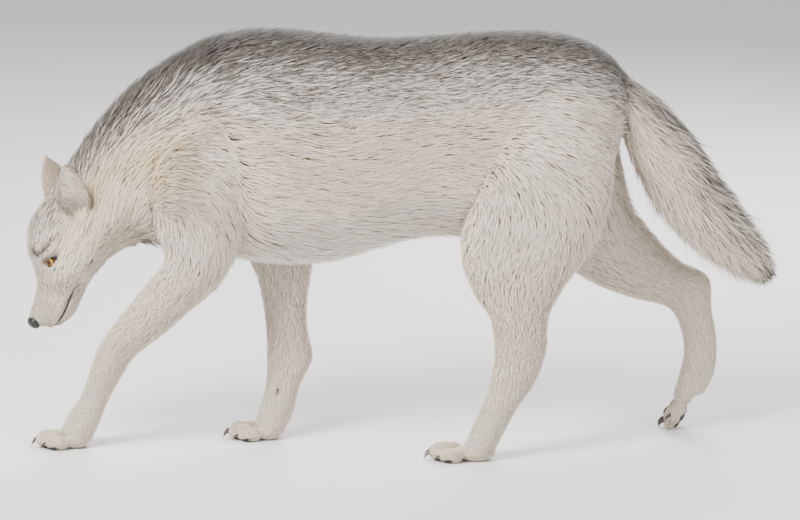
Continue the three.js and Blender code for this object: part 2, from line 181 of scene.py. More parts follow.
def spine_grid(places):
    """Rings of the spine, swollen by the head's forms and turned from the chest to the ears."""
    rings = ring_grid(SPINE, places, SPINE_RING, SPINE_SQUARE)
    rings = rings + unit(rings - rings.mean(1, keepdims=True)) * swell(rings, HEAD_FORMS)[..., None]
    chest, ears = (list(SPINE).index(name) for name in ("neck_base", "ears"))
    return turned(rings, ((places - chest) / (ears - chest))[:, None])


# A leg's upper outline is its front and the lower one its back; side places count outwards. The heel is
# how much further back than the others a foot reaches (mm).
TIPTOE = np.radians(64)  # the pitch of the hind foot that leaves the floor
LEGS = {
    "left_foreleg": {"side": -1, "paw": {"place": (-612, -28, 0), "pitch": 0, "heel": 0}, "stations": {
        "scapula": (-405, 645, -340, 665, 26, 92, 0, 15, 15, 15),
        "shoulder": (-452, 548, -288, 568, 52, 95, 0, 20, 16, 16),
        "upper_arm": (-456, 455, -282, 458, 56, 91, 0, 18, 14, 18),
        "elbow": (-437, 380, -317, 350, 49, 84, 0, 12, 9, 13),
        "forearm_top": (-478, 322, -366, 297, 42, 76, 0, 7, 6, 9),
        "forearm": (-528, 258, -432, 236, 36, 66, 0, 5, 5, 7),
        "wrist_top": (-565, 204, -490, 188, 31, 54, 0, 4, 4, 5),
        "wrist": (-583, 154, -522, 140, 29, 44, 0, 4, 4, 4),
        "pastern": (-601, 104, -549, 88, 25, 36, 0, 3.5, 3.5, 3.5),
        "knuckle": (-628, 62, -566, 46, 30, 30, 0, 3, 3, 3),
        "pad": (-642, 30, -582, 10, 30, 28, 0, 3, 3, 3),
    }},
    "right_foreleg": {"side": 1, "paw": {"place": (-248, 38, 0), "pitch": 0, "heel": 0}, "stations": {
        "scapula": (-385, 645, -320, 665, 26, 92, 0, 15, 15, 15),
        "shoulder": (-436, 548, -262, 566, 52, 95, 0, 20, 16, 16),
        "upper_arm": (-400, 452, -212, 466, 56, 91, 0, 18, 14, 18),
        "elbow": (-306, 376, -160, 378, 49, 84, 0, 12, 9, 13),
        "forearm_top": (-272, 320, -162, 318, 42, 76, 0, 7, 6, 9),
        "forearm": (-258, 262, -170, 256, 36, 68, 0, 5, 5, 7),
        "wrist_top": (-251, 208, -168, 203, 31, 58, 0, 4, 4, 5),
        "wrist": (-250, 160, -160, 156, 29, 50, 0, 4, 4, 4),
        "pastern": (-252, 106, -184, 104, 25, 44, 0, 3.5, 3.5, 3.5),
        "knuckle": (-264, 60, -198, 50, 30, 40, 0, 3, 3, 3),
        "pad": (-276, 30, -216, 10, 30, 38, 0, 3, 3, 3),
    }},
    "left_hindleg": {"side": -1, "paw": {"place": (137, -127, 0), "pitch": 0, "heel": 22}, "stations": {
        "pelvis": (250, 690, 350, 700, 30, 72, 0, 16, 16, 16),
        "upper_thigh": (180, 590, 411, 580, 60, 80, 0, 18, 16, 22),
        "thigh": (136, 480, 402, 480, 58, 84, 0, 16, 15, 24),
        "stifle": (118, 397, 366, 402, 51, 90, 0, 12, 11, 16),
        "shin_top": (140, 322, 312, 320, 42, 98, 0, 8, 7, 10),
        "shin": (172, 274, 288, 268, 35, 106, 0, 6, 6, 8),
        "hock": (183, 218, 284, 208, 29, 112, 0, 4, 4, 5),
        "hock_foot": (178, 162, 264, 150, 26, 117, 0, 4, 4, 4),
        "cannon": (163, 112, 229, 98, 24, 121, 0, 3.5, 3.5, 3.5),
        "knuckle": (142, 64, 202, 48, 29, 125, 0, 3, 3, 3),
        "pad": (128, 30, 184, 12, 30, 127, 0, 3, 3, 3),
    }},
    "right_hindleg": {"side": 1, "paw": {"place": (572, 121, 61), "pitch": TIPTOE, "heel": 0}, "stations": {
        "pelvis": (260, 690, 360, 700, 30, 72, 0, 16, 16, 16),
        "upper_thigh": (215, 590, 421, 590, 60, 80, 0, 18, 16, 22),
        "thigh": (225, 480, 440, 500, 58, 84, 0, 16, 15, 24),
        "stifle": (276, 372, 452, 446, 51, 90, 0, 12, 11, 16),
        "shin_top": (362, 300, 492, 394, 42, 98, 0, 8, 7, 10),
        "shin": (446, 264, 546, 337, 35, 105, 0, 6, 6, 8),
        "hock": (520, 242, 601, 303, 29, 111, 0, 4, 4, 5),
        "hock_foot": (547, 198, 608, 240, 26, 115, 0, 4, 4, 4),
        "cannon": (554, 148, 620, 172, 24, 118, 0, 3.5, 3.5, 3.5),
        "knuckle": (544, 98, 615, 110, 28, 120, 0, 3, 3, 3),
        "pad": (534, 66, 596, 70, 26, 121, 0, 3, 3, 3),
    }},
}
# A toe: place ahead of the pad, side place, half length, half width and half height (mm).
TOES = {
    "inner": (33, -29, 25, 11.5, 16),
    "inner_middle": (50, -11.5, 27, 12.5, 18),
    "outer_middle": (50, 11.5, 27, 12.5, 18),
    "outer": (33, 29, 25, 11.5, 16),
}
TOE_SINK = 2.5  # how deep a toe's lowest part is pressed flat
TOE_COAT = 2.4
FOOT_MIDDLE = np.array((0, 0, 15))  # the foot behind the toes, a ball with these half sizes
FOOT_SIZE = np.array((29, 31, 18))
# The pads under a paw: place from the foot's middle and half sizes (mm).
PADS = {name: ((-ahead - 3, side, 6.5), (0.52 * long, 0.72 * wide, 6.2))
        for name, (ahead, side, long, wide, _) in TOES.items()}
PADS["foot"] = ((2, 0, 7.5), (21, 21, 7.2))
TAIL = {
    "root": (424, 738, 386, 655, 44, 0, 0, 28, 22, 26),
    "dock": (480, 702, 400, 603, 60, 0, 0, 40, 36, 40),
    "upper_tail": (540, 646, 428, 549, 71, 0, 0, 48, 48, 50),
    "brush": (597, 552, 483, 457, 74, 0, 0, 50, 52, 52),
    "lower_brush": (640, 471, 553, 398, 60, 0, 0, 40, 43, 44),
    "taper": (680, 405, 623, 358, 38, 0, 0, 28, 27, 30),
    "tip_fur": (703, 352, 682, 331, 15, 0, 0, 11, 11, 11),
}
MELT_SIZE = 3 * MM
spine_places = np.linspace(0, SPINE_END, 420)
tail_places = np.linspace(0, TAIL_END, 110)
leg_places = np.linspace(0, LEG_END, 220)


def in_paw(points, paw):
    """From a paw's own frame, toes to -X and the origin under the pad, to where the paw stands."""
    return spun(points, 0, 2, paw["pitch"]) + paw["place"]


def sphere(down, across, pole=0.02):
    """A unit ball as rings from pole to pole: cos a, sin a cos b and sin a sin b of the angles a and b."""
    a = np.linspace(pole, np.pi - pole, down)[:, None]
    b = full_turn(across)
    return np.cos(a) + 0 * b, np.sin(a) * np.cos(b), np.sin(a) * np.sin(b)


def ball_grid(centre, radii, down=24, across=32):
    """An ellipsoid: a unit ball, its poles along X, stretched by its three radii."""
    along, above, beside = sphere(down, across)
    return np.asarray(centre) + np.stack([-along, beside, above], -1) * radii


def joined(grids):
    """Points and faces of rows of rings: quads between the rings, and a fan on each end."""
    points, faces, first = [], [], 0
    for grid in grids:
        rows, segments = grid.shape[:2]
        place = first + np.arange(rows * segments).reshape(rows, segments)
        beside = np.roll(place, -1, 1)
        ends = first + rows * segments
        quads = np.stack([place[:-1], beside[:-1], beside[1:], place[1:]], -1).reshape(-1, 4)
        start = np.stack([np.full(segments, ends), beside[0], place[0], place[0]], -1)
        stop = np.stack([np.full(segments, ends + 1), place[-1], beside[-1], beside[-1]], -1)
        points += [grid.reshape(-1, 3), grid[0].mean(0)[None], grid[-1].mean(0)[None]]
        faces += [quads, start, stop]
        first = ends + 2
    return np.concatenate(points), np.concatenate(faces)


def write(items, name, values):
    """Puts an array into one property of all the items."""
    items.foreach_set(name, np.asarray(values, np.float32).ravel())


def read(items, name, width, kind=float):
    """One property of all the items, as rows of numbers."""
    values = np.empty(width * len(items), np.float32 if kind is float else np.int32)
    items.foreach_get(name, values)
    return values.reshape(-1, width).astype(kind)


def mesh_from(name, points, faces):
    """A mesh from arrays; a face whose last two corners are alike is a triangle."""
    mesh = bpy.data.meshes.new(name)
    corners = np.where(faces[:, -1] == faces[:, -2], faces.shape[1] - 1, faces.shape[1])
    keep = np.arange(faces.shape[1])[None] < corners[:, None]
    mesh.vertices.add(len(points))
    write(mesh.vertices, "co", points)
    mesh.loops.add(int(corners.sum()))
    mesh.loops.foreach_set("vertex_index", faces[keep].astype(np.int32))
    mesh.polygons.add(len(faces))
    mesh.polygons.foreach_set("loop_start", np.concatenate([[0], np.cumsum(corners)[:-1]]).astype(np.int32))
    mesh.update(calc_edges=True)
    mesh.polygons.foreach_set("use_smooth", np.ones(len(faces), bool))
    return mesh


def piece_from(name, mesh, finish=None):
    """The mesh as a piece of the scene, at the origin, with its finish."""
    piece = bpy.data.objects.new(name, mesh)
    bpy.context.scene.collection.objects.link(piece)
    if finish:
        mesh.materials.append(finish)
    return piece


def neighbours_of(mesh):
    """The vertices at the other ends of each vertex's edges: one list, where each part starts, its length."""
    pairs = read(mesh.edges, "vertices", 2, int)
    both = np.concatenate([pairs, pairs[:, ::-1]])
    both = both[np.argsort(both[:, 0], kind="stable")]
    count = np.bincount(both[:, 0], minlength=len(mesh.vertices))
    return both[:, 1], np.concatenate([[0], np.cumsum(count)[:-1]]), count


def averaged(values, around, times):
    """Each value moves half way to the mean of its neighbours, over and over."""
    ends, starts, count = around
    for _ in range(times):
        mean = np.add.reduceat(values[ends], starts, axis=0) / count[:, None]
        values = (values + mean) / 2
    return values


body = {"spine": spine_grid(spine_places), "tail": ring_grid(TAIL, tail_places, TAIL_RING, TAIL_SQUARE)}
for leg_name, leg in LEGS.items():
    body[leg_name] = ring_grid(leg["stations"], leg_places, LEG_RING, LEG_SQUARE, leg["side"])
    heel = np.array((leg["paw"]["heel"] / 2, 0, 0))
    body[leg_name + "_pad"] = in_paw(ball_grid(FOOT_MIDDLE + heel, FOOT_SIZE + heel - TOE_COAT), leg["paw"])
    for toe_name, (ahead, side, *radii) in TOES.items():
        toe = ball_grid((-ahead, side, radii[2] - TOE_SINK), np.array(radii) - TOE_COAT)
        body[leg_name + "_" + toe_name] = in_paw(toe, leg["paw"])
body = {name: (grid + TO_MODEL) * MM for name, grid in body.items()}

melted = piece_from("melted", mesh_from("melted", *joined(body.values())))
melt = melted.modifiers.new("melt", "REMESH")
melt.mode = "VOXEL"
melt.voxel_size = MELT_SIZE
melt_mesh = bpy.data.meshes.new_from_object(melted.evaluated_get(bpy.context.evaluated_depsgraph_get()))
bpy.data.objects.remove(melted)
points = averaged(read(melt_mesh.vertices, "co", 3), neighbours_of(melt_mesh), 6)
write(melt_mesh.vertices, "co", points)
melt_mesh.update()

# ---- Skin: the face ----
# Brows, cheek arches, whisker pads and the hollows between them, worked into the melted skin along its
# own normals, and a bed for each eye. An eye looks sideways and ahead through an almond opening.
# Each form: x, y, z, reach and push (mm, before the head turns).
FACE_FORMS = {
    "brow_inner": (-690, 26, 384, 10, 5.0),
    "brow_middle": (-680, 40, 392, 11, 7.0),
    "brow_outer": (-660, 52, 404, 13, 5.0),
    "orbit_below": (-646, 54, 345, 14, 3.5),
    "cheek_arch": (-626, 66, 362, 20, 5.5),
    "temple": (-655, 56, 432, 20, -5.0),
    "brow_furrow": (-702, 0, 405, 13, -4.0),
    "stop": (-692, 0, 352, 15, -3.0),
    "muzzle_side": (-664, 36, 303, 18, -5.0),
    "under_eye": (-678, 36, 332, 12, -3.5),
    "whisker_pad": (-682, 26, 262, 13, 3.0),
    "lip_corner": (-626, 44, 304, 9, 2.0),
    "chin": (-652, 0, 236, 12, 2.0),
}
EYE_SINK = 2.0 * MM  # how far the globe lies behind the solid eye
GAZE_OUT, GAZE_UP, GAZE_AHEAD = 0.80, 0.36, 0.40  # how far an eye looks sideways, up and forwards
SLANT = np.array((0.616, 0.0, 0.788))  # from the tear duct to the outer corner, seen from the side
SKEW = 0.06  # how far the opening leans across its own length
LID_HALF_LENGTH = 1.32  # radians about the eye's centre, from its middle to a corner
LID_ABOVE, LID_BELOW = 0.36, 0.62  # and from its middle to the upper and the lower lid
LID_POWER = 1.15
GAUGE = 0.5  # mm, the steps in which the way out from an almond is measured


def from_head(places):
    """From the head's own frame in mm, before it turns, to the model's frame."""
    return (turned(np.asarray(places, float)) + TO_MODEL) * MM


def head_way(ways):
    """Directions in the head's own frame, turned with the head."""
    return turned(np.asarray(ways, float) + HEAD_PIVOT) - HEAD_PIVOT


def to_head(places):
    """The other way: from the model's frame to the head's own, in mm."""
    return spun(places / MM - TO_MODEL - HEAD_PIVOT, 0, 1, -HEAD_TURN) + HEAD_PIVOT


EYES = {}
for side_name, side in (("left", -1), ("right", 1)):
    low, high = (np.array(place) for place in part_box(side_name + "_eye"))
    forward, back_up, outwards = np.array(((-0.44, 0, -0.90), (-0.90, 0, 0.44), (0, side, 0)))
    looks = unit(GAZE_OUT * outwards + GAZE_UP * back_up + GAZE_AHEAD * forward)
    corner = unit(SLANT - np.array((0, 1, 0)) * (SLANT @ looks) / looks[1])
    brow = np.cross(looks, corner)
    axes = head_way([looks, corner, brow * np.sign(brow @ back_up)])
    centre = (low + high) / 2 - axes[0] * EYE_SINK
    EYES[side_name] = {"centre": centre, "radius": (high - low)[2] / 2, "axes": axes}


def almond(turn, spread):
    """Angles along and across the eye's opening: an ellipse of unlike halves, with spread added all round."""
    half = np.where(np.sin(turn) > 0, LID_ABOVE, LID_BELOW)
    along = LID_HALF_LENGTH * np.cos(turn)
    across = half * signed_power(np.sin(turn), LID_POWER) - SKEW * along
    return along + spread * np.cos(turn), across + spread * np.sin(turn)


def round_eye(eye, turn, spread, rise):
    """Places at an angle spread out from the almond's edge and at a height over the eyeball (m)."""
    along, across = almond(turn, spread)
    ways = np.stack([np.cos(across) * np.cos(along), np.cos(across) * np.sin(along), np.sin(across)], -1)
    return eye["centre"] + ways @ eye["axes"] * (eye["radius"] + rise)[..., None]


def seen_from_gaze(eye, places):
    """Places seen along the eye's gaze, all in m: how far each lies outside the almond, its height ahead
    of the eye's centre, and the height of the almond's edge in the same direction."""
    height, along, across = ((places - eye["centre"]) @ eye["axes"].T).T
    across = across + SKEW * along
    opening = np.where(across > 0, LID_ABOVE, LID_BELOW)
    half_along, half_across = eye["radius"] * np.sin(LID_HALF_LENGTH), eye["radius"] * np.sin(opening)
    turn = np.arctan2(across / half_across, along / half_along)
    outside = np.zeros(len(places))
    for beyond in np.arange(0, 30, GAUGE) * MM:
        ring = (along / (half_along + beyond)) ** 2 + (across / (half_across + beyond)) ** 2
        outside = np.where(ring > 1, beyond + GAUGE * MM, outside)
    lid = opening * np.abs(np.sin(turn)) ** LID_POWER
    edge = eye["radius"] * np.cos(LID_HALF_LENGTH * np.cos(turn)) * np.cos(lid)
    return np.where(height > -0.2 * eye["radius"], outside, 0.1), height, edge


own = to_head(points)
pushed = swell(own, FACE_FORMS) * smooth_step(-own[:, 0], 575, 600) * MM
points = points + read(melt_mesh.vertices, "normal", 3) * pushed[:, None]
# Round each eye the skin sinks under the lids and rises to meet them, then eases into the face.
for eye in EYES.values():
    outside, height, edge = seen_from_gaze(eye, points)
    meets = edge + np.interp(outside / MM, (1, 3), (-4, 1)) * MM
    share = 1 - smooth_step(outside / MM, 3, 13)
    points = points + eye["axes"][0] * (share * (meets - height))[:, None]

# ---- Skin: the lie, depth and markings of its coat ----
# The hair lies back from the nose along the spine and down the legs. Its colours are a grey saddle over
# a tawny flank and cream legs, dark along the back and on the tail's tip, with painted shade in the hair
# between the toes.
PLACE, LIE, DEPTH, MARKS, DARK = slice(0, 3), slice(3, 6), 6, slice(7, 10), 9
COAT, UNFOLD = 10, slice(11, 13)
PIECES = ["coat_trunk_left", "coat_trunk_right", "coat_neck_left", "coat_neck_right"]
PIECES += ["coat_head", "coat_tail", *("coat_" + name for name in LEGS)]
HEAD = PIECES.index("coat_head")


def lie_of(grid, along=1):
    """Which way the hair lies: the unit tangent along the rings, or against them where along is -1."""
    return unit(np.gradient(grid, axis=0) * along)


def coat_depth(stations, places, segments):
    """The coat's depth round each ring: top, side and underneath weighted by the squares of cos and sin."""
    top, flank, under = curve_through(stations, places)[:, 7:10].T
    angle = full_turn(segments)
    above, below = np.maximum(np.cos(angle), 0) ** 2, np.maximum(-np.cos(angle), 0) ** 2
    return top[:, None] * above + under[:, None] * below + flank[:, None] * np.sin(angle) ** 2


def sample(grid, lie, depth, marks, coat, unfold):
    """A grid's points as rows: place, lie, the coat's depth (mm), saddle, tawny and dark, the coat's
    piece, and the point's place on the unwrap of that piece."""
    shape = grid.shape[:2]
    values = [np.broadcast_to(value, shape)[..., None] for value in (depth * MM, *marks, coat, *unfold)]
    return np.concatenate([grid, lie, *values], -1).reshape(-1, 13)


def unwrap(u, v, wide=1.0, tall=1.0, left=0.0, low=0.0):
    """Shares of a patch's width and height, as a place on the unwrap."""
    return 0.02 + left + 0.95 * wide * u, 0.02 + low + 0.95 * tall * v


# Along the spine u counts stations: the trunk's coat ends at the shoulders, the neck's behind the ears.
NECK_START, HEAD_START = 10, 14.6
u = spine_places[:, None]
angle = full_turn(SPINE_RING)[None]
level = np.cos(angle)
on_neck = smooth_step(u, 8.5, 11.5)
on_head = smooth_step(u, 14.2, 16)
saddle = smooth_step(level, -0.15 + 0.25 * on_neck, 0.85) * (1 - 0.45 * on_head)
tawny = 0.5 * bell(level + 0.05, 0.4) * (1 - 0.5 * on_head) + 0.35 * on_neck * (1 - on_head)
dark = 0.6 * smooth_step(level, 0.62, 0.98) * (1 - smooth_step(u, 13.5, 15.5))
coat = np.where(u > HEAD_START, HEAD, np.where(u < NECK_START, 0, 2) + (np.sin(angle) > 0))
first_u = np.select([u < NECK_START, u > HEAD_START], [0, HEAD_START], NECK_START)
last_u = np.select([u < NECK_START, u > HEAD_START], [NECK_START, SPINE_END], HEAD_START)
# The sides of the trunk and neck unfold from the back to the belly, and the head all round.
half_turn = np.where(np.sin(angle) > 0, angle, 2 * np.pi - angle) / np.pi
v = np.where(u > HEAD_START, 0.02 + 0.76 * angle / (2 * np.pi), half_turn)
marks = (saddle, tawny, dark)
depth = coat_depth(SPINE, spine_places, SPINE_RING)
spine_unwrap = unwrap((u - first_u) / (last_u - first_u), v)
samples = [sample(body["spine"], lie_of(body["spine"], -1), depth, marks, coat, spine_unwrap)]

u = tail_places[:, None]
angle = full_turn(TAIL_RING)[None]
level = np.cos(angle)
dark = smooth_step(u, 4.6, 6) + 0.8 * bell(u - 1.8, 0.35) * smooth_step(level, 0.5, 0.95)
marks = (smooth_step(level, -0.3, 0.7), 0.35, dark)
depth = coat_depth(TAIL, tail_places, TAIL_RING)
tail_unwrap = unwrap(u / TAIL_END, angle / (2 * np.pi))
coat = PIECES.index("coat_tail")
samples.append(sample(body["tail"], lie_of(body["tail"]), depth, marks, coat, tail_unwrap))

u = leg_places[:, None]
angle = full_turn(LEG_RING)[None]
outer = np.sin(angle)
down = smooth_step(u, 0.3, 2.8)[..., None]
for leg_name, leg in LEGS.items():
    grid = body[leg_name]
    high = smooth_step(grid[..., 2], 0.42, 0.74)
    saddle = (0.75 if "hind" in leg_name else 0.5) * high * smooth_step(outer, -0.6, 0.4)
    tawny = (0.12 + 0.4 * smooth_step(outer, -0.5, 0.7)) * (1 - smooth_step(u, 5, 9))
    coat = PIECES.index("coat_" + leg_name)
    depth = coat_depth(leg["stations"], leg_places, LEG_RING)
    lie = lie_of(grid) * down + np.array((1, 0, -0.35)) * (1 - down)
    leg_unwrap = unwrap(u / LEG_END, angle / (2 * np.pi), tall=0.7)
    samples.append(sample(grid, lie, depth, (saddle, tawny, 0), coat, leg_unwrap))
    for spot, toe_name in enumerate(("pad", *TOES)):
        grid = body[leg_name + "_" + toe_name]
        across = np.abs(grid[..., 1] - grid[..., 1].mean()) / np.ptp(grid[..., 1]) * 2
        # Hair darkens towards a toe's sides: painted shade in the gaps between the toes.
        marks = (0, 0.12, 0.5 * smooth_step(across, 0.7, 1) * (spot > 0))
        row, column = (np.linspace(0, 1, count) for count in grid.shape[:2])
        toe_unwrap = unwrap(row[:, None], column[None], 0.19, 0.24, 0.19 * spot, 0.72)
        samples.append(sample(grid, lie_of(grid, -1), 2.1, marks, coat, toe_unwrap))
samples = np.concatenate(samples)

# Finding the closest of many places: a grid of cells that each hold the number of one place near them.
CELL = 0.006
CELL_MARGIN = 0.09
grid_low = samples[:, PLACE].min(0) - CELL_MARGIN
grid_shape = ((samples[:, PLACE].max(0) + CELL_MARGIN - grid_low) / CELL).astype(int) + 1


def cells_of(places):
    """The cell that each place is in."""
    return np.clip(((places - grid_low) / CELL).astype(int), 0, grid_shape - 1)


def marked_grid(places, passes):
    """Places mark their own cells, then each pass spreads every mark to the empty cells beside it."""
    marks = np.full(grid_shape, -1, np.int32)
    marks[tuple(cells_of(places).T)] = np.arange(len(places))
    for _ in range(passes):
        for axis in range(3):
            for step in (1, -1):
                marks = np.where(marks < 0, np.roll(marks, step, axis), marks)
    return marks


def closest(marks, places, queries):
    """The closest of the places marked in the 27 cells round each query."""
    cells = cells_of(queries)
    best = np.zeros(len(queries), int)
    least = np.full(len(queries), np.inf)
    for shift in np.ndindex(3, 3, 3):
        near = np.clip(cells + np.array(shift) - 1, 0, grid_shape - 1)
        found = marks[tuple(near.T)]
        away = np.where(found < 0, np.inf, np.sum((places[found] - queries) ** 2, 1))
        best = np.where(away < least, found, best)
        least = np.minimum(away, least)
    return best


fields = samples[closest(marked_grid(samples[:, PLACE], 2), samples[:, PLACE], points)]
fields[:, DEPTH] = np.maximum(fields[:, DEPTH] - 0.8 * pushed, 2 * MM)
fields[:, PLACE] = points
hide_count = len(points)

# ---- Skin: ears and eyelids ----
# An ear is a cup of two thin walls, its root sunk into the head. A lid is a fold of skin round the almond,
# from its margin on the globe out to the face, and back under itself. Both are part of the skin.
EARS = {
    "left": {"side": -1, "lean": 0.22, "root_height": 466},
    "right": {"side": 1, "lean": 0.37, "root_height": 456},
}
EAR_HEIGHT = 95.0
EAR_HALF_WIDTH = 34.5
EAR_CUP = 24  # how deep its hollow is
EAR_WALL = 4.5
EAR_EDGE = 1.5
EAR_COAT = 3.0
EAR_ROOT = -0.4  # how far the root reaches into the head, in heights of the ear
EAR_ROOT_SINK = 26
EAR_WALL_POINTS = 16
ear_places = np.linspace(EAR_ROOT, 0.97, 66)


def ear_grid(ear, places):
    """Crescents up the ear's axis: its back swept through half a turn, then its hollow, swept back."""
    side, lean = ear["side"], ear["lean"]
    base = np.array((-618, side * 70, ear["root_height"]), float)
    axis = unit(np.array((-lean, side * 0.14, 0.96)))
    opening = unit(np.array((-0.42, side * 0.9, 0.05)))
    across = unit(np.cross(axis, opening))
    rooted = smooth_step(places, -0.2, 0.3)
    up = np.maximum(places, 0)
    half = EAR_HALF_WIDTH * (1 - up**2.4) ** 0.8 * (0.6 + 0.4 * rooted) + EAR_EDGE - EAR_COAT
    depth = EAR_CUP * (1 - up) ** 0.8 + EAR_EDGE - EAR_COAT * 0.6
    wall = np.minimum(EAR_WALL, depth * 0.5)
    sweep = np.linspace(-np.pi / 2, np.pi / 2, EAR_WALL_POINTS)
    angle = np.concatenate([sweep, sweep[::-1]])
    inwards = np.repeat((0, 1), EAR_WALL_POINTS) * wall[:, None]
    sideways = (half[:, None] - inwards) * np.sin(angle)
    hollow = -(depth[:, None] - inwards * 1.2) * np.cos(angle) - (EAR_ROOT_SINK * (1 - rooted))[:, None]
    grid = base + axis * (places * EAR_HEIGHT)[:, None, None]
    return turned(grid + across * sideways[..., None] + opening * hollow[..., None])


def shell_faces(grid, first, ends):
    """Quads between a grid's rings: 'wrapped' from the last ring to the first, or 'flat' across each end."""
    rows, segments = grid.shape[:2]
    place = first + np.arange(rows * segments).reshape(rows, segments)
    after = np.roll(place, -1, 0)
    quads = np.stack([place, np.roll(place, -1, 1), np.roll(after, -1, 1), after], -1)
    if ends == "wrapped":
        return quads.reshape(-1, 4)
    k = np.arange(segments // 2 - 1)
    k = np.stack([k, k + 1, segments - 2 - k, segments - 1 - k], -1)
    quads = np.concatenate([quads[:-1].reshape(-1, 4), place[0][k][:, ::-1], place[-1][k]])
    a, b, c = grid.reshape(-1, 3)[quads[:, :3].T - first]
    inward = np.sum(np.cross(b - a, c - a) * (a - grid.mean((0, 1)))) < 0
    return quads[:, ::-1] if inward else quads


faces = [read(melt_mesh.loops, "vertex_index", 1, int).reshape(-1, 4)]
bald = [np.zeros(hide_count, bool)]
# Short hair backs each ear, longer pale hair lines it and sweeps out of it, and dark hair edges it. The
# lining darkens towards its root, painted shade deep in the hollow.
for spot, ear in enumerate(EARS.values()):
    grid = (ear_grid(ear, ear_places) + TO_MODEL) * MM
    u = (ear_places[:, None] - EAR_ROOT) / (1 - EAR_ROOT)
    turn = np.arange(grid.shape[1])[None] / grid.shape[1]
    inner = turn >= 0.5
    rim = np.abs(np.abs(4 * turn - 2) - 1) ** 6
    depth = np.where(inner, 4.5 + 4 * (1 - u), 2.6 + 5 * (1 - smooth_step(u, 0.1, 0.4)))
    # inside, painted shade deepening towards the root of the hollow; outside, the ear's own dark edge
    dark = np.where(inner, 0.25 * (1 - u), 0.16 + 0.7 * rim * u)
    marks = (np.where(inner, 0.0, 0.5), np.where(inner, 0.05, 0.8), dark)
    sweep = unit(np.roll(grid, -1, 1) - grid) * (0.8 * inner * np.sin(2 * np.pi * turn) ** 2)[..., None]
    ear_unwrap = unwrap(u, turn, 0.47, 0.19, 0.48 * spot, 0.78)
    faces.append(shell_faces(grid, len(fields), "flat"))
    bald.append(np.zeros(grid[..., 0].size, bool))
    fields = np.concatenate([fields, sample(grid, lie_of(grid) + sweep, depth, marks, HEAD, ear_unwrap)])
ear_end = len(fields)

LID_STEPS = (0, 0.1, 0.3, 0.55, 0.8, 1)
LID_RISES = (0.1, 1.5, 2.5, 2.6, 1.6, -1.5)  # mm over the eyeball, from the lid's margin to under the face
LID_OVER, LID_UNDER, LID_POINTS = 20, 5, 96  # rings over the lid, rings back under it, and points round
LID_REACH = 0.95  # radians, how wide the fold is
for spot, eye in enumerate(EYES.values()):
    turn = full_turn(LID_POINTS)[None]
    step = np.concatenate([np.linspace(0, 1, LID_OVER), np.linspace(0.9, 0.1, LID_UNDER)])[:, None]
    under = np.repeat((False, True), (LID_OVER, LID_UNDER))[:, None]
    over = np.interp(step, LID_STEPS, LID_RISES) + 0.8 * np.clip(np.sin(turn), 0, 1) * bell(step - 0.4, 0.22)
    rise = np.where(under, -1.0 - 4.0 * step, over)
    grid = round_eye(eye, turn, -0.03 + LID_REACH * step**1.5 + 0 * turn, rise * MM)
    lie = unit(np.gradient(grid, axis=0)) * np.where(under, -1, 1)[..., None] + 0.5 * eye["axes"][1]
    marks = (0.1, 0.2, bell(step, 0.26))
    lid_unwrap = unwrap(step, turn / (2 * np.pi), 0.16, 0.02, 0.3 + 0.2 * spot, 0.96)
    faces.append(shell_faces(grid, len(fields), "wrapped"))
    bald.append((under | (step < 0.16) | (step > 0.9) | (turn < 0)).ravel())
    fields = np.concatenate([fields, sample(grid, lie, 0.5 + 1.8 * step, marks, HEAD, lid_unwrap)])

points, bald = fields[:, PLACE], np.concatenate(bald)
coat_of, unfold = fields[:, COAT].astype(int), fields[:, UNFOLD]
hide = mesh_from("skin", points, np.concatenate(faces))
around = neighbours_of(hide)
outward = read(hide.vertices, "normal", 3)

# ---- Skin: the face's markings and the partings of its hair ----
# The mask is a greyer forehead and crown, a tawny bridge, pale cheeks, lips, chin and throat, and a dark
# line at both ends of each eye. Round the eyes, and at the bare pads, the hair parts or stops.
# Each spot of the mask: x, y, z and reach (mm), then its own saddle, tawny and dark.
FACE_MARKS = {
    "forehead": (-690, 0, 445, 42, 0.75, 0.35, 0.10),
    "crown": (-665, 0, 500, 40, 0.80, 0.40, 0.15),
    "below_ear": (-625, 72, 430, 34, 0.45, 0.55, 0.05),
    "cheek": (-628, 62, 335, 34, 0.0, 0.05, 0.0),
    "throat": (-590, 0, 300, 60, 0.0, 0.05, 0.0),
    "brow_spot": (-684, 30, 394, 10, 0.0, 0.10, 0.0),
    "bridge": (-690, 0, 318, 20, 0.35, 0.60, 0.05),
    "muzzle_top": (-700, 0, 272, 17, 0.30, 0.65, 0.08),
    "upper_lip": (-672, 34, 262, 17, 0.0, 0.02, 0.0),
    "chin": (-640, 0, 245, 24, 0.0, 0.0, 0.0),
    "tear_line": (-680, 36, 340, 7, 0.3, 0.4, 0.45),
    "outer_eye_line": (-640, 58, 398, 8, 0.3, 0.4, 0.35),
}
own = to_head(points)
on_hide = (np.arange(len(points)) < hide_count) & (coat_of == HEAD)
for x, y, z, reach, *marks in FACE_MARKS.values():
    share = (bell(away_from(own, x, y, z), reach) * on_hide)[:, None]
    fields[:, MARKS] = fields[:, MARKS] * (1 - share) + np.array(marks) * share

# Hair near an eye parts round it, shorter and closer, and none grows under its lids.
LIDS_REACH, LIDS_BARE, LIDS_DARK = 14 * MM, 2.2 * MM, 2.6 * MM
crowd = np.ones(len(points))
flow = unit(averaged(fields[:, LIE], around, 60))
off_lids = np.arange(len(points)) < ear_end
for eye in EYES.values():
    outside = seen_from_gaze(eye, points)[0]
    bald |= off_lids & (outside < LIDS_BARE)
    near_lids = np.clip(1 - outside / LIDS_REACH, 0, 1) * off_lids
    crowd += 1.6 * near_lids
    away = unit(points - eye["centre"])
    into_eye = np.clip(-np.sum(flow * away, 1), 0, 1)
    flow = flow + away * ((1.3 * into_eye + 0.45) * near_lids)[:, None]
    fields[:, DEPTH] *= 1 - 0.55 * near_lids
    fields[:, DARK] += 0.95 * bell(outside, LIDS_DARK) * off_lids

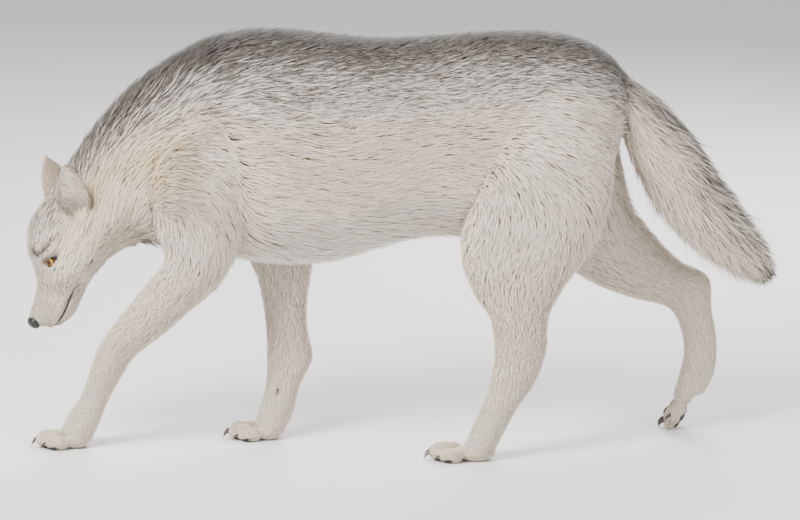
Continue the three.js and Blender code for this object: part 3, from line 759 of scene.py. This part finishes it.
# None grows on the pads either: they are bare, and break through the skin under the paws.
for leg in LEGS.values():
    in_foot = spun(points / MM - TO_MODEL - leg["paw"]["place"], 0, 2, -leg["paw"]["pitch"])
    for centre, radii in PADS.values():
        bald |= np.linalg.norm((in_foot - centre) / np.array(radii), axis=1) < 1.0

# Depth, markings and lie run smoothly into each other where the lengths of the body meet, which takes
# more rounds of averaging on the body than on the head.
off_head = (coat_of != HEAD)[:, None]
smoothed = averaged(fields[:, DEPTH : DARK + 1], around, 30)
smoothed = np.where(off_head, averaged(smoothed, around, 60), smoothed)
depth, markings = smoothed[:, 0], smoothed[:, 1:]
lie = averaged(flow, around, 12)
lie = np.where(off_head, averaged(unit(lie), around, 150), lie)
lie = unit(lie - outward * np.sum(lie * outward, 1, keepdims=True))

# ---- Skin: the closed mouth and the frown ----
# The lips meet in a fold from the left corner of the mouth, round the front, to the right corner. The
# fold is bare at its edge, with short dark hair beside it. Places down the left half (mm):
MOUTH = ((-619, 45, 316), (-628, 39, 288), (-636, 33, 262), (-647, 25, 242), (-653, 12, 236), (-654, 0, 235))
LIP_POINTS = 161
FOLD_DEPTH, LIP_SWELL, LIP_BARE = 3.0, 1.4, 3.2  # how deep the fold is, how far its banks rise, its bare edge
mouth = dict(enumerate([(x, -y, z) for x, y, z in MOUTH] + list(MOUTH[-2::-1])))


def closest_skin(places):
    """The place on the tangent plane of the skin's nearest vertex, and the normal there."""
    near = closest(skin_cells, points, places)
    normal = outward[near]
    return places - normal * np.sum((places - points[near]) * normal, 1)[:, None], normal


skin_cells = marked_grid(points, 16)
lip_path = from_head(curve_through(mouth, np.linspace(0, len(mouth) - 1, LIP_POINTS)))
for _ in range(3):
    lip_path, lip_out = closest_skin(lip_path)
    for _ in range(40):
        lip_path[1:-1] = (lip_path[:-2] + 2 * lip_path[1:-1] + lip_path[2:]) / 4
        lip_out[1:-1] = unit(lip_out[:-2] + 2 * lip_out[1:-1] + lip_out[2:])


def away_from_line(places, line):
    """How far each place is from the nearest of a line's points."""
    return np.linalg.norm(places[:, None] - line[None], axis=2).min(1)


near = np.flatnonzero(np.linalg.norm(points - from_head((-645, 0, 262)), axis=1) < 80 * MM)
from_lips = away_from_line(points[near], lip_path[::4]) / MM
fold = LIP_SWELL * bell(from_lips - 9.0, 3.0) - FOLD_DEPTH * bell(from_lips, 5.0)
points[near] += outward[near] * (fold * MM)[:, None]
bald[near] |= from_lips < LIP_BARE
depth[near] *= 1 - 0.55 * bell(from_lips, 6.0)
markings[near, 2] += 0.8 * bell(from_lips, 3.4)

# A frown creases the skin over each eye under the brow, with dark hair along it: partly the wolf's own dark
# brow line, partly painted shade in the crease. Its line, seen from the side (mm):
FROWN = dict(enumerate([(-695, 386), (-688, 376), (-668, 393), (-650, 407)]))
FROWN_DEPTH = 3.0
near = np.flatnonzero(on_hide & (np.linalg.norm(own - (-670, 0, 390), axis=1) < 80))
near = near[np.abs(own[near, 1]) > 12]  # it stops short of the middle of the face
frown = away_from_line(own[near][:, (0, 2)], curve_through(FROWN, np.linspace(0, len(FROWN) - 1, 40)))
points[near] -= outward[near] * (FROWN_DEPTH * bell(frown, 4.5) * MM)[:, None]
depth[near] *= 1 - 0.3 * bell(frown, 5.0)
# dark hair along the crease: partly a dark brow line, partly painted shade
markings[near, 2] += 0.9 * bell(frown, 4.0)

write(hide.vertices, "co", points)
hide.update()
outward = read(hide.vertices, "normal", 3)

# ---- Skin: its finish ----
# Hide under short hair, in the colours that the coat has at its roots: cream, tawny flanks and a grey
# saddle. The roots are darker than the hair further up, partly the undercoat's own colour and partly painted
# shade deep in the coat, and the hide is darker again by a tenth, painted shade under the hair. Where the
# coat is short it takes the paler colour half way up the hair, with a fine grain.
CREAM = {"root": (0.70, 0.64, 0.55), "middle": (0.83, 0.78, 0.70), "tip": (0.94, 0.91, 0.86)}
SILVER = {"root": (0.42, 0.39, 0.36), "middle": (0.61, 0.58, 0.54), "tip": (0.81, 0.79, 0.76)}
TAWNY = {"root": (0.56, 0.44, 0.32), "middle": (0.72, 0.58, 0.43), "tip": (0.85, 0.75, 0.60)}
KEPT_SHARE = 0.36  # of the faces on the body, where the coat hides the skin


def linear(colour):
    """From the colour as seen, 0 to 1, to the amount of light."""
    colour = np.asarray(colour, float)
    return np.where(colour <= 0.04045, colour / 12.92, ((colour + 0.055) / 1.055) ** 2.4)


def coat_colours(marking, part):
    """Cream, moved towards tawny, then silver, then black by the three markings."""
    saddle, tawny = marking[:, 0:1].clip(0, 1), marking[:, 1:2].clip(0, 1)
    colour = linear(CREAM[part]) * (1 - tawny) + linear(TAWNY[part]) * tawny
    colour = colour * (1 - saddle * 0.85) + linear(SILVER[part]) * saddle * 0.85
    return colour * (1 - 0.85 * smooth_step(marking[:, 2:3], 0.15, 1.0))


def set_inputs(material, node, inputs):
    """Each named input of a node gets its value, or a link where the value is another node's output."""
    for name, value in inputs.items():
        socket = node.inputs[name.replace("_", " ")]
        if isinstance(value, bpy.types.NodeSocket):
            material.node_tree.links.new(value, socket)
        else:
            socket.default_value = value


def finish_of(name, **inputs):
    """A material, with the inputs of its own shader."""
    material = bpy.data.materials.new(name)
    material.use_nodes = True
    set_inputs(material, material.node_tree.nodes["Principled BSDF"], inputs)
    return material


def add_node(material, kind, settings=(), **inputs):
    """A node of the kind, with its settings and inputs."""
    node = material.node_tree.nodes.new("ShaderNode" + kind)
    for name, value in dict(settings).items():
        setattr(node, name, value)
    set_inputs(material, node, inputs)
    return node


def own_attribute(material, name):
    """The node that reads one of a mesh's own attributes."""
    return add_node(material, "Attribute", {"attribute_name": name})


def pattern(material, kind, **inputs):
    """A texture of the kind over the piece's own place."""
    place = add_node(material, "TexCoord").outputs["Object"]
    return add_node(material, "Tex" + kind, Vector=place, **inputs)


def put_on(material, **inputs):
    """Links to the material's own shader."""
    set_inputs(material, material.node_tree.nodes["Principled BSDF"], inputs)


def embossed(material, height, strength, distance):
    """Bump from a height, on the material's own shader."""
    bump = add_node(material, "Bump", Strength=strength, Distance=distance, Height=height)
    put_on(material, Normal=bump.outputs["Normal"])


def tinted(mesh, colours):
    """Puts a colour on each vertex, as the attribute tint."""
    colours = np.concatenate([colours.reshape(-1, 3).clip(0, 1), np.ones((len(mesh.vertices), 1))], 1)
    write(mesh.attributes.new("tint", "FLOAT_COLOR", "POINT").data, "color", colours)


short_fur = finish_of("short_fur", Roughness=0.75, Specular_IOR_Level=0.15)
grain = pattern(short_fur, "Noise", Scale=420, Detail=3).outputs["Fac"]
tone = add_node(short_fur, "Mix", {"data_type": "RGBA", "blend_type": "MULTIPLY"}, Factor=0.35, B=grain,
                A=own_attribute(short_fur, "tint").outputs["Color"])
put_on(short_fur, Base_Color=tone.outputs["Result"])
embossed(short_fur, grain, 0.6, 0.001)

short = 1 - smooth_step(depth / MM, 4, 14)[:, None]
# the factor 0.9 is painted shade under the hair
tinted(hide, 0.9 * (coat_colours(markings, "root") * (1 - short) + coat_colours(markings, "middle") * short))
skin = piece_from("skin", hide, short_fur)
body_group = skin.vertex_groups.new(name="body")
body_group.add(np.flatnonzero(off_head).tolist(), 1.0, "REPLACE")
thin = skin.modifiers.new("thin", "DECIMATE")
thin.ratio = KEPT_SHARE
thin.vertex_group = "body"
bare_parts = ("nose", "left_eye", "right_eye")
flesh = [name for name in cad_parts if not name.endswith("claw") and name not in bare_parts]
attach(skin, "root")
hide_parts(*flesh)

# ---- Coat ----
# Locks of guard hair over the skin, each a closed spindle of six faces: a root, three points round its
# middle and a tip. They lean with the lie of the coat, gather in clumps, and end at the coat's outline.
# The face's hair is finer, and the ruff and the tail are the densest, in the order of PIECES.
FINENESS = np.array((1, 1, 0.9, 0.9, 0.82, 0.85, 1.05, 1.05, 1.05, 1.05))
DENSITY = np.array((1.1, 1.1, 3.2, 3.2, 1.42, 4.6, 0.9, 0.9, 0.88, 0.88))
LENGTH_FOR_DEPTH, SHORTEST = 2.4, 1.6 * MM
WIDTH_FOR_LENGTH, NARROWEST = 0.031, 0.9 * MM
MIDDLE = 0.42  # where along a lock its widest part is
HAIR_FLOOR = 0.4 * MM  # hair spreads out over the floor at this height
LATTICE = 4096  # more than the clumps' cells along any side
SABLE = (0.17, 0.155, 0.145)  # the dark tips
HAIR_FACES = np.array([(0, 1, 3), (0, 3, 2), (0, 2, 1), (1, 4, 3), (3, 4, 2), (2, 4, 1)])
PATCH = np.array([(0.5, 0), (0, 0.45), (1, 0.45), (0.5, 0.5), (0.5, 1)]) * 0.003  # a lock on the unwrap

hide.calc_loop_triangles()
triangles = read(hide.loop_triangles, "vertices", 3, int)
length_at = LENGTH_FOR_DEPTH * depth + SHORTEST
width_at = (NARROWEST + WIDTH_FOR_LENGTH * length_at) * np.interp(depth / MM, (1, 3, 5), (0.7, 0.85, 1))
width_at *= FINENESS[coat_of]
cover_at = DENSITY[coat_of] * np.interp(depth / MM, (2, 4.5, 10, 20, 40, 50), (1.5, 1.3, 2.4, 4.6, 8, 9))
per_area = 2 * cover_at / (length_at * width_at) * crowd * ~bald

# Roots fall evenly over the triangles, each in proportion to its area and its cover of hair.
sides = points[triangles[:, 1:]] - points[triangles[:, :1]]
area = np.linalg.norm(np.cross(sides[:, 0], sides[:, 1]), axis=1) / 2
wanted = np.cumsum(area * per_area[triangles].mean(1))
total = int(wanted[-1])
chosen = np.searchsorted(wanted, (np.arange(total) + chance.random(total)) / total * wanted[-1])
rooted_in = triangles[np.minimum(chosen, len(triangles) - 1)]
a, b = chance.random((2, total))
a, b = np.where(a + b > 1, 1 - a, a), np.where(a + b > 1, 1 - b, b)
weights = np.stack([1 - a - b, a, b], 1)


def at_roots(values):
    """The values at the locks' roots, shared between the corners of their triangles."""
    return np.einsum("nk,nk...->n...", weights, values[rooted_in])


root = at_roots(points)
up = unit(at_roots(outward))
along = unit(at_roots(lie))
deep = at_roots(depth)
long = at_roots(length_at) * chance.uniform(0.75, 1.2, total)
wide = at_roots(width_at) * chance.uniform(0.7, 1.25, total)
marking = at_roots(markings)
coat = coat_of[rooted_in[:, 0]]
on_shell = rooted_in[:, 0] >= hide_count  # on the ears and lids, whose other side is close by
across_seam = np.ptp(unfold[rooted_in], axis=1).max(1) > 0.05
place = np.where(across_seam[:, None], unfold[rooted_in[:, 0]], at_roots(unfold))

# Locks swing to either side of the coat's lie, in slow waves and at random.
swirl = 0.10 * np.sin(root @ np.array((21, 9, 17))) + 0.07 * np.sin(root @ np.array((-37, 25, 41)))
swing = (swirl + chance.normal(0, 0.10, total))[:, None]
along = unit(along * np.cos(swing) + np.cross(up, along) * np.sin(swing))

# Clumps: roots in one cell of a wavy lattice lean towards their common line.
clump_size = (0.35 * at_roots(length_at) + 2 * MM).round(3)
waves = np.array(((310, 170, 90), (-140, 260, 210), (90, -230, 280)))
cell = np.floor(root / clump_size[:, None] + 0.35 * np.sin(root @ waves.T)).astype(int)
cell -= cell.min(0)
key = (clump_size / MM).round().astype(np.int64)
for axis in range(3):
    key = key * LATTICE + cell[:, axis]
clumps, clump = np.unique(key, return_inverse=True)
members = np.bincount(clump)
centre = np.stack([np.bincount(clump, root[:, k]) / members for k in range(3)], 1)[clump]
astray = root - centre
astray -= along * np.sum(astray * along, 1, keepdims=True)
clump_tone = chance.normal(0, 1, len(clumps))[clump]


def over_skin(places, height):
    """The places moved along the skin's normal to a height above the skin's tangent plane near them.

    Where the closest skin faces another way than the root's, as between two legs, the root's own plane holds.
    """
    near = closest(skin_cells, points, places)
    alike = np.sum(outward[near] * up, 1) > 0.35
    alike &= (np.linalg.norm(points[near] - places, axis=1) < 0.6 * long + 0.012) & ~on_shell
    normal = np.where(alike[:, None], outward[near], up)
    ground = np.where(alike[:, None], points[near], root)
    lift = height - np.sum((places - ground) * normal, 1)
    return places + normal * lift[:, None], normal


lowest = np.interp(deep / MM, (6, 15), (0.35, 0.75))
height = deep * (lowest + (1.08 - lowest) * chance.random(total))
middle, middle_up = over_skin(root + along * (long * MIDDLE)[:, None] - 0.25 * astray, height * 0.62)
tip, tip_up = over_skin(root + along * long[:, None] - 0.6 * astray, height)
tip = tip + np.cross(up, along) * (chance.normal(0, 0.05, total) * long)[:, None]
clear = np.ones(total, bool)
for eye in EYES.values():
    for spots in (middle, tip):
        clear &= seen_from_gaze(eye, spots)[0] > 0.4 * MM

across = unit(np.cross(middle_up, tip - root))
thick = np.cross(unit(tip - root), across)
thick = thick * np.sign(np.sum(thick * middle_up, 1, keepdims=True))
beside = across * (wide / 2)[:, None]
under = middle - thick * (wide * 0.15)[:, None]
over = middle + thick * (wide * 0.3)[:, None]
hair = np.stack([root - up * MM, under - beside, under + beside, over, tip], 1)
hair[..., 2] = np.maximum(hair[..., 2], HAIR_FLOOR)

# A lock is shaded mostly as the skin under it is, so that the coat reads as one surface.
ups = np.stack([up, middle_up, middle_up, middle_up, tip_up], 1)
shade = ups.copy()
shade[:, 1] = unit(middle_up * 0.6 - across * 0.8)
shade[:, 2] = unit(middle_up * 0.6 + across * 0.8)
soft = unit(0.6 * ups + 0.4 * shade + chance.normal(0, 0.08, (total, 1, 3)))

# Guard hairs on the saddle and the dark marks have sable tips.
tone = np.exp(0.07 * chance.normal(0, 1, total) + 0.05 * clump_tone)[:, None]
dark_tip = chance.random(total) < 0.62 * marking[:, 0].clip(0, 1) ** 1.4 + 0.75 * marking[:, 2]
dark_tip = dark_tip[:, None]
# A lock is darker at its root: partly the undercoat's own colour, partly painted shade deep in the coat.
at_root = coat_colours(marking, "root")
half_way = coat_colours(marking, "middle") * np.where(dark_tip, 0.85, 1)
at_tip = np.where(dark_tip, linear(SABLE), coat_colours(marking, "tip"))
colours = np.stack([at_root, half_way, half_way, half_way, at_tip], 1) * tone[:, None]

fur = finish_of("fur", Roughness=0.6, Specular_IOR_Level=0.2, Sheen_Weight=0.15)
put_on(fur, Base_Color=own_attribute(fur, "tint").outputs["Color"])

for number, name in enumerate(PIECES):
    mine = (coat == number) & clear
    faces = (HAIR_FACES + 5 * np.arange(mine.sum())[:, None, None]).reshape(-1, 3)
    mesh = mesh_from(name, hair[mine].reshape(-1, 3), faces[:, (0, 1, 2, 2)])
    tinted(mesh, colours[mine])
    spots = place[mine][:, None] + PATCH
    write(mesh.uv_layers.new(name="OFBake").uv, "vector", spots[:, HAIR_FACES.ravel()])
    mesh.normals_split_custom_set_from_vertices(soft[mine].reshape(-1, 3))
    piece = piece_from(name, mesh, fur)
    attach(piece, "root")

# ---- Eyes ----
# Wet globes behind the lids: a round black pupil, an amber iris with fine rays, a dark ring round it and a
# brownish white. The cornea stands a little proud of the globe.
CORNEA_RISE = 1.0 * MM
PUPIL_AHEAD, PUPIL_UP = 0.16, 0.02  # how far it looks past the middle of the lids, forwards and up
IRIS_STOPS = (
    (0.0, (0.02, 0.02, 0.02)),
    (0.13, (0.02, 0.02, 0.02)),
    (0.148, (0.42, 0.26, 0.08)),
    (0.205, (0.78, 0.55, 0.20)),
    (0.275, (0.70, 0.47, 0.15)),
    (0.305, (0.16, 0.10, 0.06)),
    (0.335, (0.10, 0.07, 0.06)),
    (0.45, (0.33, 0.24, 0.20)),
)


def tones(material, value, stops):
    """The colours, as seen, that a surface passes through as a value grows: (value, colour) stops."""
    node = add_node(material, "ValToRGB", Fac=value)
    while len(node.color_ramp.elements) < len(stops):
        node.color_ramp.elements.new(0.5)
    for element, (place, colour) in zip(node.color_ramp.elements, stops):
        element.position = place
        element.color = (*linear(colour), 1)
    put_on(material, Base_Color=node.outputs["Color"])


eye_look = finish_of("eye", Roughness=0.5, Specular_IOR_Level=0.0, Coat_Weight=0.6, Coat_Roughness=0.03)
rays = own_attribute(eye_look, "rays").outputs["Vector"]
grain = add_node(eye_look, "TexNoise", Scale=1.0, Detail=4.0, Vector=rays).outputs["Fac"]
wobble = add_node(eye_look, "Math", {"operation": "MULTIPLY_ADD"})
wobble.inputs[1].default_value = 0.10
eye_look.node_tree.links.new(grain, wobble.inputs[0])
eye_look.node_tree.links.new(own_attribute(eye_look, "gaze").outputs["Fac"], wobble.inputs[2])
tones(eye_look, wobble.outputs["Value"], IRIS_STOPS)

for name, eye in EYES.items():
    looks, corner, brow = eye["axes"]
    aim = unit(looks - PUPIL_AHEAD * corner + PUPIL_UP * brow)
    side_way = unit(np.cross(aim, corner))
    front, across, above = sphere(90, 120, 0.015)
    away = np.arccos(front)
    ways = np.stack([front, across, above], -1) @ np.stack([aim, side_way, np.cross(side_way, aim)])
    radius = eye["radius"] - 0.2 * MM + CORNEA_RISE * bell(away, 0.55)
    globe = mesh_from(name + "_eyeball", *joined([eye["centre"] + ways * radius[..., None]]))
    # gaze is the angle off the pupil's axis over half a turn, and rays winds round it
    gaze = np.append(away / np.pi, [0, 1])
    rays = np.stack([7 * across / np.sin(away), 7 * above / np.sin(away), 2 * away], -1).reshape(-1, 3)
    rays = np.vstack([rays, (0, 0, 0), (0, 0, 6)])
    write(globe.attributes.new("gaze", "FLOAT", "POINT").data, "value", gaze)
    write(globe.attributes.new("rays", "FLOAT_VECTOR", "POINT").data, "vector", rays)
    piece = piece_from(name + "_eyeball", globe, eye_look)
    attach(piece, "root")
    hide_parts(name + "_eye")

# ---- Lid margins ----
# The bare dark edge of each lid, which is skin without hair: a thin roll set round the almond, thickest
# at the tear duct.
MARGIN_HALF = 1.15 * MM
DUCT_HALF = 1.0 * MM


def tube(path, across, out, round_segments=12):
    """A closed section carried along a path: an ellipse with one half axis along out and one across."""
    turn = full_turn(round_segments)[None, :, None]
    return path[:, None] + np.cos(turn) * across[:, None] + np.sin(turn) * out[:, None]


rim_look = finish_of("lid_margin", Base_Color=(*linear((0.07, 0.06, 0.06)), 1), Roughness=0.38)
for name, eye in EYES.items():
    turn = full_turn(LID_POINTS)
    path = round_eye(eye, turn, np.full(LID_POINTS, 0.035), np.full(LID_POINTS, 0.9 * MM))
    out = unit(path - eye["centre"])
    way = unit(np.roll(path, -1, 0) - np.roll(path, 1, 0))
    thick = (MARGIN_HALF + DUCT_HALF * bell(turn - np.pi, 0.5))[:, None]
    grid = tube(path, np.cross(way, out) * thick, out * thick * 0.8)
    mesh = mesh_from(name + "_lid_margin", grid.reshape(-1, 3), shell_faces(grid, 0, "wrapped"))
    piece = piece_from(name + "_lid_margin", mesh, rim_look)
    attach(piece, "root")

# ---- Nose leather ----
# Damp black leather on the end of the muzzle: a pebbled pad with two comma-shaped nostrils and a groove
# down its middle.
NOSE_HALF = (12.5, 18.0, 13.0)  # mm forwards, sideways and upwards
NOSTRIL_DEPTH = 6.5
SLIT_DEPTH = 3.2
GROOVE_DEPTH = 1.1

low, high = (np.array(corner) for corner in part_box("nose"))
front, across, above = sphere(80, 120)
off_nostril = np.abs(across) - 0.44
nostril = bell(off_nostril, 0.17) * bell(above + 0.02 - 0.35 * off_nostril, 0.20)
slit = bell(off_nostril - 0.30, 0.20) * bell(above + 0.34, 0.09)
groove = bell(across, 0.055) * smooth_step(front, 0.1, 0.6) * smooth_step(-above, -0.3, 0.2)
dent = (NOSTRIL_DEPTH * nostril + SLIT_DEPTH * slit) * smooth_step(front, 0.0, 0.35) + GROOVE_DEPTH * groove
wide = signed_power(across, 0.86) * (1 + 0.10 * above)
blunt = np.stack([signed_power(front, 0.9), wide, signed_power(above, 0.82)], -1) * NOSE_HALF
blunt[..., 0] -= dent
nose_axes = head_way(unit(np.array(((-0.50, 0, -0.87), (0, 1, 0), (-0.87, 0, 0.50)))))
leather_mesh = mesh_from("nose_leather", *joined([(low + high) / 2 + blunt @ nose_axes * MM]))

leather = finish_of("leather", Roughness=0.42, Specular_IOR_Level=0.5)
pebbles = pattern(leather, "Voronoi", Scale=900).outputs["Distance"]
tones(leather, pebbles, ((0.0, (0.14, 0.13, 0.13)), (0.7, (0.07, 0.065, 0.065))))
embossed(leather, pebbles, 0.35, 0.0006)
piece = piece_from("nose_leather", leather_mesh, leather)
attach(piece, "root")
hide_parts("nose")

# ---- Lips ----
# The dark bare edge of the closed lips, the same leather: one roll from the left corner of the mouth
# round its front to the right corner, set into the fold of the skin and fuller towards the corners.


def tube_between(path, out, half_width, half_height, round_segments=12):
    """A tube along an open path whose section stands on the direction out."""
    way = unit(np.gradient(path, axis=0))
    side_way = unit(np.cross(way, out))
    return tube(path, side_way * half_width, np.cross(side_way, way) * half_height, round_segments)


t = np.linspace(-1, 1, LIP_POINTS)[:, None]
lip_thick = np.sqrt(np.clip(1 - t**8, 0.02, 1)) * (1.5 + 0.6 * bell(np.abs(t) - 0.8, 0.15)) * MM
lip_grid = tube_between(lip_path - lip_out * MM, lip_out, lip_thick * 1.15, lip_thick * 0.95)
piece = piece_from("lips", mesh_from("lips", *joined([lip_grid])), leather)
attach(piece, "root")

# ---- Whiskers ----
# Stiff dark hairs in four rows on each side of the muzzle and a few over each eye. They are thicker than
# the coat's, rooted just under the skin, taper to a point and sag a little.
WHISKER_ROWS = 4
WHISKERS_IN_ROW = 5
BROW_WHISKERS = 3
WHISKER_RADIUS = 0.42 * MM
SAG = np.array((0, 0, 0.18))

roots, ways, lengths = [], [], []
row, number = np.divmod(np.arange(WHISKER_ROWS * WHISKERS_IN_ROW), WHISKERS_IN_ROW)
brow_number = np.arange(BROW_WHISKERS)
for side in (-1, 1):
    back, out, high = 7.5 * row + 1.5 * number, 1.2 * number, 7 * number - 3 * row
    roots.append(np.stack([-690 + back, side * (27 + out), 256 + high], 1))
    ways.append(np.stack([0.10 + 0.10 * row, side * 0.75 + 0 * row, 0.45 + 0.1 * number], 1))
    lengths.append(34 + 5 * number + 3 * row)
    roots.append((-684, side * 30, 397) + brow_number[:, None] * (5, side * 4, 2))
    ways.append(np.tile((-0.35, side * 0.5, 0.7), (BROW_WHISKERS, 1)))
    lengths.append(24 + 3 * brow_number)
roots, whisker_out = closest_skin(from_head(np.concatenate(roots)))
ways = unit(unit(head_way(np.concatenate(ways))) + 0.35 * whisker_out)
lengths = np.concatenate(lengths) * MM * chance.uniform(0.85, 1.1, len(roots))
t = np.linspace(0, 1, 9)[:, None]
whiskers = []
for root_place, way, out, length in zip(roots, ways, whisker_out, lengths):
    path = root_place - out * MM + (way * t - SAG * t**2) * length
    thick = WHISKER_RADIUS * (1.02 - t)
    whiskers.append(tube_between(path, out, thick, thick, 5))
whisker_look = finish_of("whisker", Base_Color=(*linear((0.30, 0.28, 0.27)), 1), Roughness=0.4)
piece = piece_from("whiskers", mesh_from("whiskers", *joined(whiskers)), whisker_look)
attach(piece, "root")

# ---- Claws ----
# Dark horn, swept along a bend and tapering to its tip: four to a foot, and a dewclaw on each foreleg.
# Each line: how far behind the toe's end, and what share of its height (start, bend and tip).
CLAW_LINES = {"flat": ((12, 0.9), (-4.4, 1.02), (-8, 0.13)), "raised": ((15, 1.6), (4, 2.15), (-3, 1.75))}
DEWCLAWS = {
    "left_foreleg": ((-577, -19, 104), (-582, -7, 99), (-583, -7, 88)),
    "right_foreleg": ((-226, 27, 104), (-229, 15, 99), (-230, 15, 88)),
}
CLAW_RADIUS = 3.6
DEWCLAW_RADIUS = 3.06
FLOOR_GAP = 0.2 * MM


def horn_grid(bend, radius):
    """A claw along a quadratic Bezier, its ellipse of a section shrinking evenly to a blunt tip."""
    start, through, stop = np.asarray(bend, float)
    t = np.linspace(0, 0.985, 18)[:, None]
    path = (1 - t) ** 2 * start + 2 * t * (1 - t) * through + t**2 * stop
    way = unit(2 * (1 - t) * (through - start) + 2 * t * (stop - through))
    upright = unit(np.stack([-way[:, 2], 0 * way[:, 0], way[:, 0]], -1))
    thick = radius * np.sqrt(1 - t) * (1 - 0.55 * t)
    return tube(path, np.cross(upright, way) * thick * 0.75, upright * thick * 1.15, 16)


def on_floor(name, grids):
    """One mesh of all the grids, from mm to the model's frame, pressed flat where it meets the floor."""
    grids = [(grid + TO_MODEL) * MM for grid in grids]
    for grid in grids:
        grid[..., 2] = np.maximum(grid[..., 2], FLOOR_GAP)
    return mesh_from(name, *joined(grids))


horn = finish_of("horn", Roughness=0.35)
streaks = pattern(horn, "Noise", Scale=420).outputs["Fac"]
tones(horn, streaks, ((0.3, (0.12, 0.10, 0.09)), (0.7, (0.34, 0.29, 0.25))))
for leg_name, leg in LEGS.items():
    foot = leg_name.replace("leg", "paw")
    line = CLAW_LINES["raised" if leg["paw"]["pitch"] else "flat"]
    claws = []
    for ahead, side, length, _, tall in TOES.values():
        bend = [(behind - ahead - length, side, tall * share) for behind, share in line]
        claws.append(in_paw(horn_grid(bend, CLAW_RADIUS), leg["paw"]))
    if leg_name in DEWCLAWS:
        claws.append(horn_grid(DEWCLAWS[leg_name], DEWCLAW_RADIUS))
    piece = piece_from(foot + "_claws", on_floor(foot + "_claws", claws), horn)
    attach(piece, "root")
    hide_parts(*(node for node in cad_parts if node.startswith(foot) and node.endswith("claw")))

# ---- Pads ----
# Black pebbled cushions of thick skin under each toe and under the foot. They stand out of the paw's
# underside, and are flat where they rest on the floor.
pad_look = finish_of("pad", Roughness=0.75)
pebbles = pattern(pad_look, "Voronoi", Scale=600).outputs["Distance"]
tones(pad_look, pebbles, ((0.0, (0.19, 0.175, 0.17)), (0.8, (0.10, 0.09, 0.09))))
embossed(pad_look, pebbles, 0.5, 0.0008)
for leg_name, leg in LEGS.items():
    name = leg_name.replace("leg", "paw") + "_pads"
    pads = [in_paw(ball_grid(centre, radii), leg["paw"]) for centre, radii in PADS.values()]
    piece = piece_from(name, on_floor(name, pads), pad_look)
    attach(piece, "root")

# ---- Floor, light and camera ----
# A pale floor under soft studio light from three square lamps. The camera looks at the wolf's left side
# from a little above it.
FLOOR_HALF = 30
LAMPS = {  # place, side of the square and power
    "key": ((-2.2, -2.2, 3.0), 1.6, 330),
    "fill": ((2.6, -2.4, 1.6), 2.6, 60),
    "rim": ((0.8, 2.6, 2.6), 2.0, 170),
}
LAMP_AIM = (0, 0, 0.35)
SKY_COLOUR = (0.95, 0.96, 1.0, 1)
SKY_STRENGTH = 0.80
CAMERA_AIM = (0.0019, 0.003, 0.3584)
CAMERA_AWAY = 9.0
CAMERA_ABOVE = np.radians(12)
CAMERA_LENS = 213.2  # mm, before a 36 mm sensor


def put_facing(name, data, place, target):
    """An object at a place that points its -Z at the target, with its own Y up."""
    holder = bpy.data.objects.new(name, data)
    bpy.context.scene.collection.objects.link(holder)
    holder.location = place
    holder.rotation_euler = (Vector(target) - Vector(place)).to_track_quat("-Z", "Y").to_euler()
    return holder


corners = FLOOR_HALF * np.array([(-1, -1, 0), (1, -1, 0), (1, 1, 0), (-1, 1, 0)])
paper = finish_of("floor", Base_Color=(0.82, 0.81, 0.8, 1), Roughness=0.9)
piece_from("floor", mesh_from("floor", corners, np.array([(0, 1, 2, 3)])), paper)

world = bpy.data.worlds.new("studio")
world.use_nodes = True
world.node_tree.nodes["Background"].inputs["Color"].default_value = SKY_COLOUR
world.node_tree.nodes["Background"].inputs["Strength"].default_value = SKY_STRENGTH
bpy.context.scene.world = world
for name, (place, size, power) in LAMPS.items():
    lamp = bpy.data.lights.new(name, "AREA")
    lamp.size = size
    lamp.energy = power
    put_facing(name, lamp, place, LAMP_AIM)

camera = bpy.data.cameras.new("camera")
camera.sensor_width = 36
camera.lens = CAMERA_LENS
camera.clip_end = 60
above = CAMERA_AWAY * Vector((0, -np.cos(CAMERA_ABOVE), np.sin(CAMERA_ABOVE)))
bpy.context.scene.camera = put_facing("camera", camera, Vector(CAMERA_AIM) + above, CAMERA_AIM)
